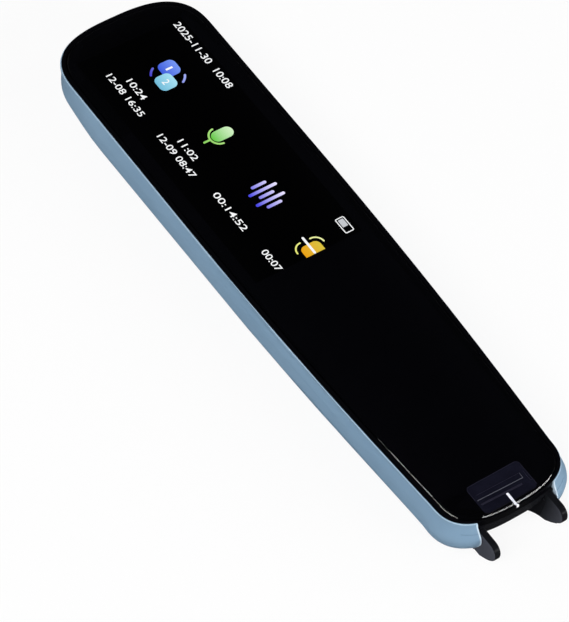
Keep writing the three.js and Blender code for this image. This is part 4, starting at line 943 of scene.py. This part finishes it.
# A microphone on its stand
leaf = lit("lit_leaf", colour(96, 196, 62), colour(206, 236, 190), (0.2, 5.2))
stem_green = lit("lit_stem", colour(140, 206, 96), colour(176, 224, 130), (-1.8, 2.4))
lit_piece("microphone_head", [rounded_rectangle(0.2, 5.5, 33.55, 36.45, 1.44)], leaf)
lit_piece("microphone_stand", [band(arc((1.95, 35.0), 2.2, 96, 264, 16), 0.45),
                               band([(-0.25, 35.0), (-1.8, 35.0)], 0.5)], stem_green)

# Sound drawn as bars
violet = lit("lit_violet", colour(72, 72, 224), colour(240, 232, 255), (-1.6, 5.8))
bars = [(19.62, 0.1, 3.25), (18.13, -1.55, 4.95), (16.63, 0.1, 3.25), (15.2, -1.65, 5.0), (13.7, 0.1, 3.25)]
lit_piece("sound_bars", [band([(low, y), (high, y)], 0.74) for y, low, high in bars], violet)

# An open book, cut by the display's edge
cut_edge = -1.48
gold = lit("lit_gold", colour(232, 158, 20), colour(214, 190, 62), (-0.7, 4.1))
straw = lit("lit_straw", colour(232, 232, 120), colour(240, 244, 170), (-1.6, 5.0))
lower_page = [(1.35, cut_edge), (1.35, 1.35), *arc((0.55, 0.15), 1.2, 90, 180, 8), (-0.65, cut_edge)]
upper_page = [(4.1, cut_edge), *arc((2.8, 0.1), 1.3, 0, 90, 8), (1.9, 1.4), (1.9, cut_edge)]
lit_piece("book_pages", [lower_page, upper_page], gold)
lit_piece("book_spine", [band([(1.62, 3.2), (1.62, cut_edge + 0.28)], 0.55)], white_light, 1)
lit_piece("book_marks", [band(arc((0.3, 0.5), 1.95, 88, 182, 12), 0.35),
                         band(arc((3.0, 0.3), 2.05, 94, 2, 12), 0.35)], straw)

# The battery's charge
charge_grey = lit("lit_charge", colour(196, 198, 202))
case_line, case_stroke, shortest = rounded_rectangle(10.25, 12.3, -0.4, 3.6, 0.3), 0.22, 0.05
lit_piece("battery_outline", [band([start, end], case_stroke)
                              for start, end in zip(case_line, case_line[1:] + case_line[:1])
                              if math.dist(start, end) > shortest], white_light)
lit_piece("battery_charge", [rounded_rectangle(10.62, 11.93, 1.15, 3.2, 0.15)], charge_grey)


# Power button
# A slim black key in the right wall, with a flange behind it and a stem that reaches the switch
# on the main board. Its outer edge is rounded for the thumb and carries five fine grip lines.
def solid_box(node):
    """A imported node's lowest and highest corners."""
    return [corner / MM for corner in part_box(node)]


key_low, key_high = solid_box("power_button")
key_round, key_round_steps, key_fit = 0.35, 4, 0.01
flange_thickness, flange_gap, flange_radius = 0.8, 0.3, 0.4
stem_half, stem_radius, stem_root = 1.0, 0.2, 0.4
flange_out = half_width(button_y) + shell_proud - shell_wall - flange_gap
flange_in = flange_out - flange_thickness
cap = prism(slot_line(button_y, button_z, button_half_length, button_half_height, steps=10), flange_in,
            key_high.x, "X")
cap = rounded(cap, lambda point: point.x > key_high.x - key_fit, key_round, key_round_steps)
flange_line = rounded_rectangle(key_low.y, key_high.y, key_low.z, key_high.z, flange_radius)
stem_line = rounded_rectangle(button_y - stem_half, button_y + stem_half, button_z, key_high.z, stem_radius)
key = carved(cap, [prism(flange_line, flange_in, flange_out, "X"),
                   prism(stem_line, key_low.x, flange_in + stem_root, "X")], "UNION")
key_black = glossy_black("key_black", (0.006, 0.006, 0.008), (0.011, 0.011, 0.014),
                         roughness=0.34, strength=0.12, gloss=0.3)
piece("power_key", key, key_black, "button", "black_plastic", "power_button")


def grown(name, sizes, plan, material):
    """A mesh that Geometry Nodes grow from named sizes. Plan wires the tree and gives its geometry."""
    tree = bpy.data.node_groups.new(name, "GeometryNodeTree")
    kinds = {int: "NodeSocketInt", float: "NodeSocketFloat"}
    inputs = {label: tree.interface.new_socket(label, in_out="INPUT", socket_type=kinds[type(size)])
              for label, size in sizes.items()}
    tree.interface.new_socket("Geometry", in_out="OUTPUT", socket_type="NodeSocketGeometry")
    entry = tree.nodes.new("NodeGroupInput")
    shape = plan(Wire(tree, None), **{label: Wire(tree, entry.outputs[label]) for label in sizes})
    whole = shape.make("GeometryNodeRealizeInstances", Geometry=shape)
    whole = whole.make("GeometryNodeSetMaterial", Geometry=whole, Material=material)
    tree.links.new(whole.socket, tree.nodes.new("NodeGroupOutput").inputs[0])
    holder = placed(name, bpy.data.meshes.new(name))
    growth = holder.modifiers.new(name, "NODES")
    growth.node_group = tree
    for label, size in sizes.items():
        growth[inputs[label].identifier] = size
    mesh = final_mesh(holder)
    holder.modifiers.remove(growth)
    bpy.data.objects.remove(holder)
    return mesh


def at(wire, x=0.0, y=0.0, z=0.0):
    """A place or a step, from numbers and wires."""
    return wire.make("ShaderNodeCombineXYZ", X=x, Y=y, Z=z)


def row(start, count, first, step, shape):
    """Copies of a shape in a straight row."""
    points = start.make("GeometryNodeMeshLine", {"mode": "OFFSET"}, Count=count, Start_Location=first,
                        Offset=step)
    return points.make("GeometryNodeInstanceOnPoints", Points=points, Instance=shape)


def grip_plan(start, count, pitch, width, height, proud, outer, middle_y, middle_z):
    rib = start.make("GeometryNodeMeshCube", Size=at(start, proud * 2, width, height))
    first = at(start, outer, middle_y - (count - 1) * pitch * 0.5, middle_z)
    return row(start, count, first, at(start, y=pitch), rib)


grip_sizes = {"count": 5, "pitch": 0.9, "width": 0.3, "height": 1.1, "proud": 0.07, "outer": key_high.x,
              "middle_y": button_y, "middle_z": button_z}
piece("power_key_grip", grown("grip_lines", grip_sizes, grip_plan, key_black), key_black, "button",
      "black_plastic")


# Reader
# The parts in the tip: a black housing with a clear window in its floor, a small camera on its
# board, two lamps on a strip above, the foot's two springs and the switch that the foot presses.
def grained(name, low, high, scale, roughness, metallic=0.0, strength=0.1, stretch=(1, 1, 1)):
    """A finish whose tone and relief follow a fine grain, drawn out along an axis where it is brushed."""
    material, place = new_material(name)
    grain = place.make("ShaderNodeMapping", Vector=place, Scale=stretch).noise(scale, 4.0)
    return surface(material, place, Base_Color=grain.blended(low, high), Roughness=grain * 0.12 + roughness,
                   Metallic=metallic, Normal=relief(grain, strength, 0.04), Specular_IOR_Level=0.4)


def celled(name, low, high, scale, roughness, metallic=0.0, strength=0.3):
    """A finish broken into small cells, as foam, crinkled foil or a light guide's dots."""
    material, place = new_material(name)
    cells = place.make("ShaderNodeTexVoronoi", {"feature": "F1"}, Vector=place, Scale=scale)
    return surface(material, place, Base_Color=(cells * 1.4).blended(low, high), Metallic=metallic,
                   Roughness=cells * 0.15 + roughness, Normal=relief(cells, strength, 0.1))


def traced(name, low, high, scale, roughness):
    """A circuit: copper runs under a thin film show as bands a little lighter than the rest."""
    material, place = new_material(name)
    bands = place.make("ShaderNodeTexWave", {"wave_type": "BANDS", "bands_direction": "X"}, 1,
                       Vector=place, Scale=scale, Distortion=1.2, Detail=1.0)
    blocks = place.make("ShaderNodeTexVoronoi", {"feature": "DISTANCE_TO_EDGE"}, Vector=place, Scale=0.5)
    share = bands * 0.6 + blocks * 0.5
    return surface(material, place, Base_Color=share.blended(low, high), Roughness=share * 0.1 + roughness,
                   Normal=relief(share, 0.15, 0.05))


moulded_black = glossy_black("moulded_black", (0.004, 0.004, 0.005), (0.009, 0.009, 0.011),
                             roughness=0.45, strength=0.15, gloss=0.3)
dress(moulded_black, "nose_housing", "camera_barrel", "speaker")
lens_clear, place = new_material("lens_clear")
mirror = place.make("ShaderNodeBsdfGlossy", Color=(1, 1, 1), Roughness=place.noise(0.2, 2.0) * 0.03 + 0.02)
clear = place.make("ShaderNodeBsdfTransparent", Color=(0.75, 0.765, 0.83))
facing = place.make("ShaderNodeFresnel", IOR=glass_index)
shown(lens_clear, place.make("ShaderNodeMixShader", _0=facing, _1=clear, _2=mirror))
dress(lens_clear, "scan_window", "camera_lens")
dress(traced("board_black", (0.004, 0.005, 0.008), (0.012, 0.014, 0.020), 0.9, 0.5),
      "camera_board", "light_board")
dress(celled("lamp_yellow", (0.80, 0.62, 0.10), (0.92, 0.80, 0.35), 4.0, 0.4),
      "light_led_left", "light_led_right")
dress(traced("flex_amber", (0.20, 0.085, 0.012), (0.42, 0.20, 0.035), 1.4, 0.35),
      "camera_flex", "display_flex", "tail_flex", "battery_lead")
tinned = grained("tinned_steel", (0.42, 0.43, 0.45), (0.66, 0.67, 0.68), 2.0, 0.26, 1.0, 0.08, (1, 8, 1))
dress(tinned, "power_switch", "foot_switch", "wireless_module", "microphone")
dress(grained("spring_wire", (0.40, 0.41, 0.43), (0.62, 0.63, 0.66), 6.0, 0.20, 1.0, 0.06, (1, 1, 6)),
      "foot_spring_left", "foot_spring_right")
chip_black = grained("chip_black", (0.006, 0.006, 0.007), (0.016, 0.016, 0.018), 6.0, 0.55, strength=0.3)
dress(chip_black, "foot_switch_plunger", "power_switch_plunger")


# Main board
# A green circuit board with its chips, the radio module under a tinned can, plugs for the flat
# cables and four plated screws that hold it up against the frame's bosses.
dress(traced("board_green", (0.010, 0.060, 0.030), (0.022, 0.120, 0.055), 0.7, 0.4),
      "main_board", "tail_board")
dress(chip_black, "processor_chip", "memory_chip", "charger_chip", "audio_chip", "display_connector",
      "camera_connector", "tail_connector")
dress(grained("ceramic_white", (0.66, 0.65, 0.60), (0.80, 0.79, 0.75), 3.0, 0.35, strength=0.08),
      "antenna", "battery_socket")


def moved(shape, x=0.0, y=0.0, z=0.0):
    """A shape carried a step away."""
    return shape.make("GeometryNodeTransform", Geometry=shape, Translation=at(shape, x, y, z))


def screw_plan(start, span_x, span_y, middle_y, bottom, top, head, core, crest, head_height, slot, slot_depth,
               turns):
    disc = start.make("GeometryNodeMeshCylinder", Vertices=28, Radius=head, Depth=head_height)
    slots = [start.make("GeometryNodeMeshCube", Size=at(start, *sides))
             for sides in ((slot, head * 1.1, slot_depth), (head * 1.1, slot, slot_depth))]
    cross = start.make("GeometryNodeMeshBoolean", {"operation": "UNION", "solver": "EXACT"}, Mesh_2=slots)
    disc = start.make("GeometryNodeMeshBoolean", {"operation": "DIFFERENCE", "solver": "EXACT"}, Mesh_1=disc,
                      Mesh_2=moved(cross, z=head_height * -0.5))
    reach = top - bottom - head_height
    pin = start.make("GeometryNodeMeshCylinder", Vertices=20, Radius=core, Depth=reach)
    ridge = start.make("GeometryNodeMeshCylinder", Vertices=20, Radius=crest, Depth=reach / turns * 0.35)
    thread = row(start, turns - 1, at(start, z=bottom + head_height + reach / turns),
                 at(start, z=reach / turns), ridge)
    screw = start.make("GeometryNodeJoinGeometry", Geometry=[
        moved(disc, z=bottom + head_height * 0.5), moved(pin, z=bottom + head_height + reach * 0.5), thread])
    corners = start.make("GeometryNodeMeshGrid", Size_X=span_x, Size_Y=span_y, Vertices_X=2, Vertices_Y=2)
    return start.make("GeometryNodeInstanceOnPoints", Points=moved(corners, y=middle_y), Instance=screw)


plated = grained("plated_screw", (0.45, 0.45, 0.46), (0.70, 0.70, 0.70), 5.0, 0.25, 1.0, 0.08)
screw_low, screw_high = solid_box("board_screw_1")
near_corner, far_corner = (sum(solid_box(f"board_screw_{number}"), Vector()) / 2 for number in (1, 4))
screw_sizes = {"span_x": far_corner.x - near_corner.x, "span_y": far_corner.y - near_corner.y,
               "middle_y": (far_corner.y + near_corner.y) / 2, "bottom": screw_low.z, "top": screw_high.z,
               "head": (screw_high.x - screw_low.x) / 2, "core": 0.68, "crest": 0.8, "head_height": 0.7,
               "slot": 0.34, "slot_depth": 0.8, "turns": 8}
piece("board_screws", grown("plated_screws", screw_sizes, screw_plan, plated), plated, "body", "tinned_steel",
      *(f"board_screw_{number}" for number in range(1, 5)))


# Display module, battery and tapes
# The display's white light guide lies on a thin foam, the battery is a foil pouch on a glue tape,
# and a black tape holds the glass on its ledge.
dress(celled("guide_white", (0.70, 0.70, 0.69), (0.86, 0.86, 0.85), 5.0, 0.45, strength=0.1),
      "display_backlight")
dress(celled("foam_grey", (0.10, 0.10, 0.095), (0.22, 0.22, 0.21), 4.0, 0.85),
      "display_cushion", "battery_pad", "speaker_gasket")
dress(celled("tape_black", (0.003, 0.003, 0.004), (0.008, 0.008, 0.010), 3.0, 0.8), "glass_adhesive")
dress(celled("pouch_foil", (0.50, 0.51, 0.53), (0.68, 0.69, 0.71), 0.35, 0.38, 1.0, 0.25), "battery_cell")


# Speaker
# Behind the five slots in the back lies a gauze of fine black wire that keeps the dust out. It is
# woven from straight strands and lies at the foot of the speaker's gasket.
def gauze_plan(start, count_x, count_y, pitch, strand, middle_y, height):
    rod = start.make("GeometryNodeMeshCylinder", Vertices=6, Radius=strand, Depth=1.0)
    along_y, along_x = (
        start.make("GeometryNodeTransform", Geometry=rod, Rotation=rotation,
                   Scale=at(start, 1.0, 1.0, (count + 1) * pitch))
        for rotation, count in (((math.pi / 2, 0, 0), count_y), ((0, math.pi / 2, 0), count_x)))
    low_x, low_y = (count_x - 1) * pitch * -0.5, middle_y - (count_y - 1) * pitch * 0.5
    warp = row(start, count_x, at(start, low_x, middle_y, height), at(start, pitch), along_y)
    weft = row(start, count_y, at(start, 0.0, low_y, height + strand), at(start, y=pitch), along_x)
    return start.make("GeometryNodeJoinGeometry", Geometry=[warp, weft])


gauze_black = grained("gauze_black", (0.010, 0.010, 0.011), (0.028, 0.028, 0.030), 8.0, 0.4, 0.6, 0.05)
gasket_bottom, gauze_lift = solid_box("speaker_gasket")[0].z, 0.08
gauze_sizes = {"count_x": 34, "count_y": 23, "pitch": 0.36, "strand": 0.055, "middle_y": speaker_y,
               "height": gasket_bottom + gauze_lift}
piece("speaker_gauze", grown("speaker_weave", gauze_sizes, gauze_plan, gauze_black), gauze_black, "body",
      "black_plastic")


# Charging socket
# A drawn steel shell on the tail board, with a plastic tongue in it that carries a row of gilt
# contacts on each side.
def contact_plan(start, count, pitch, width, length, thickness, front, low, high):
    blade = start.make("GeometryNodeMeshCube", Size=at(start, width, length, thickness))
    across, along = (count - 1) * pitch * -0.5, front - length * 0.5
    rows = [row(start, count, at(start, across, along, height), at(start, pitch), blade)
            for height in (low - thickness * 0.4, high + thickness * 0.4)]
    return start.make("GeometryNodeJoinGeometry", Geometry=rows)


dress(tinned, "usb_shell")
dress(chip_black, "usb_tongue")
tongue_low, tongue_high = solid_box("usb_tongue")
contact_inset = 0.15
gilt = grained("contact_gilt", (0.72, 0.46, 0.13), (0.88, 0.62, 0.22), 4.0, 0.22, 1.0, 0.05)
contact_sizes = {"count": 12, "pitch": 0.5, "width": 0.25, "length": 3.6, "thickness": 0.04,
                 "front": tongue_high.y - contact_inset, "low": tongue_low.z, "high": tongue_high.z}
piece("usb_contacts", grown("contact_rows", contact_sizes, contact_plan, gilt), gilt, "body", "tinned_steel")
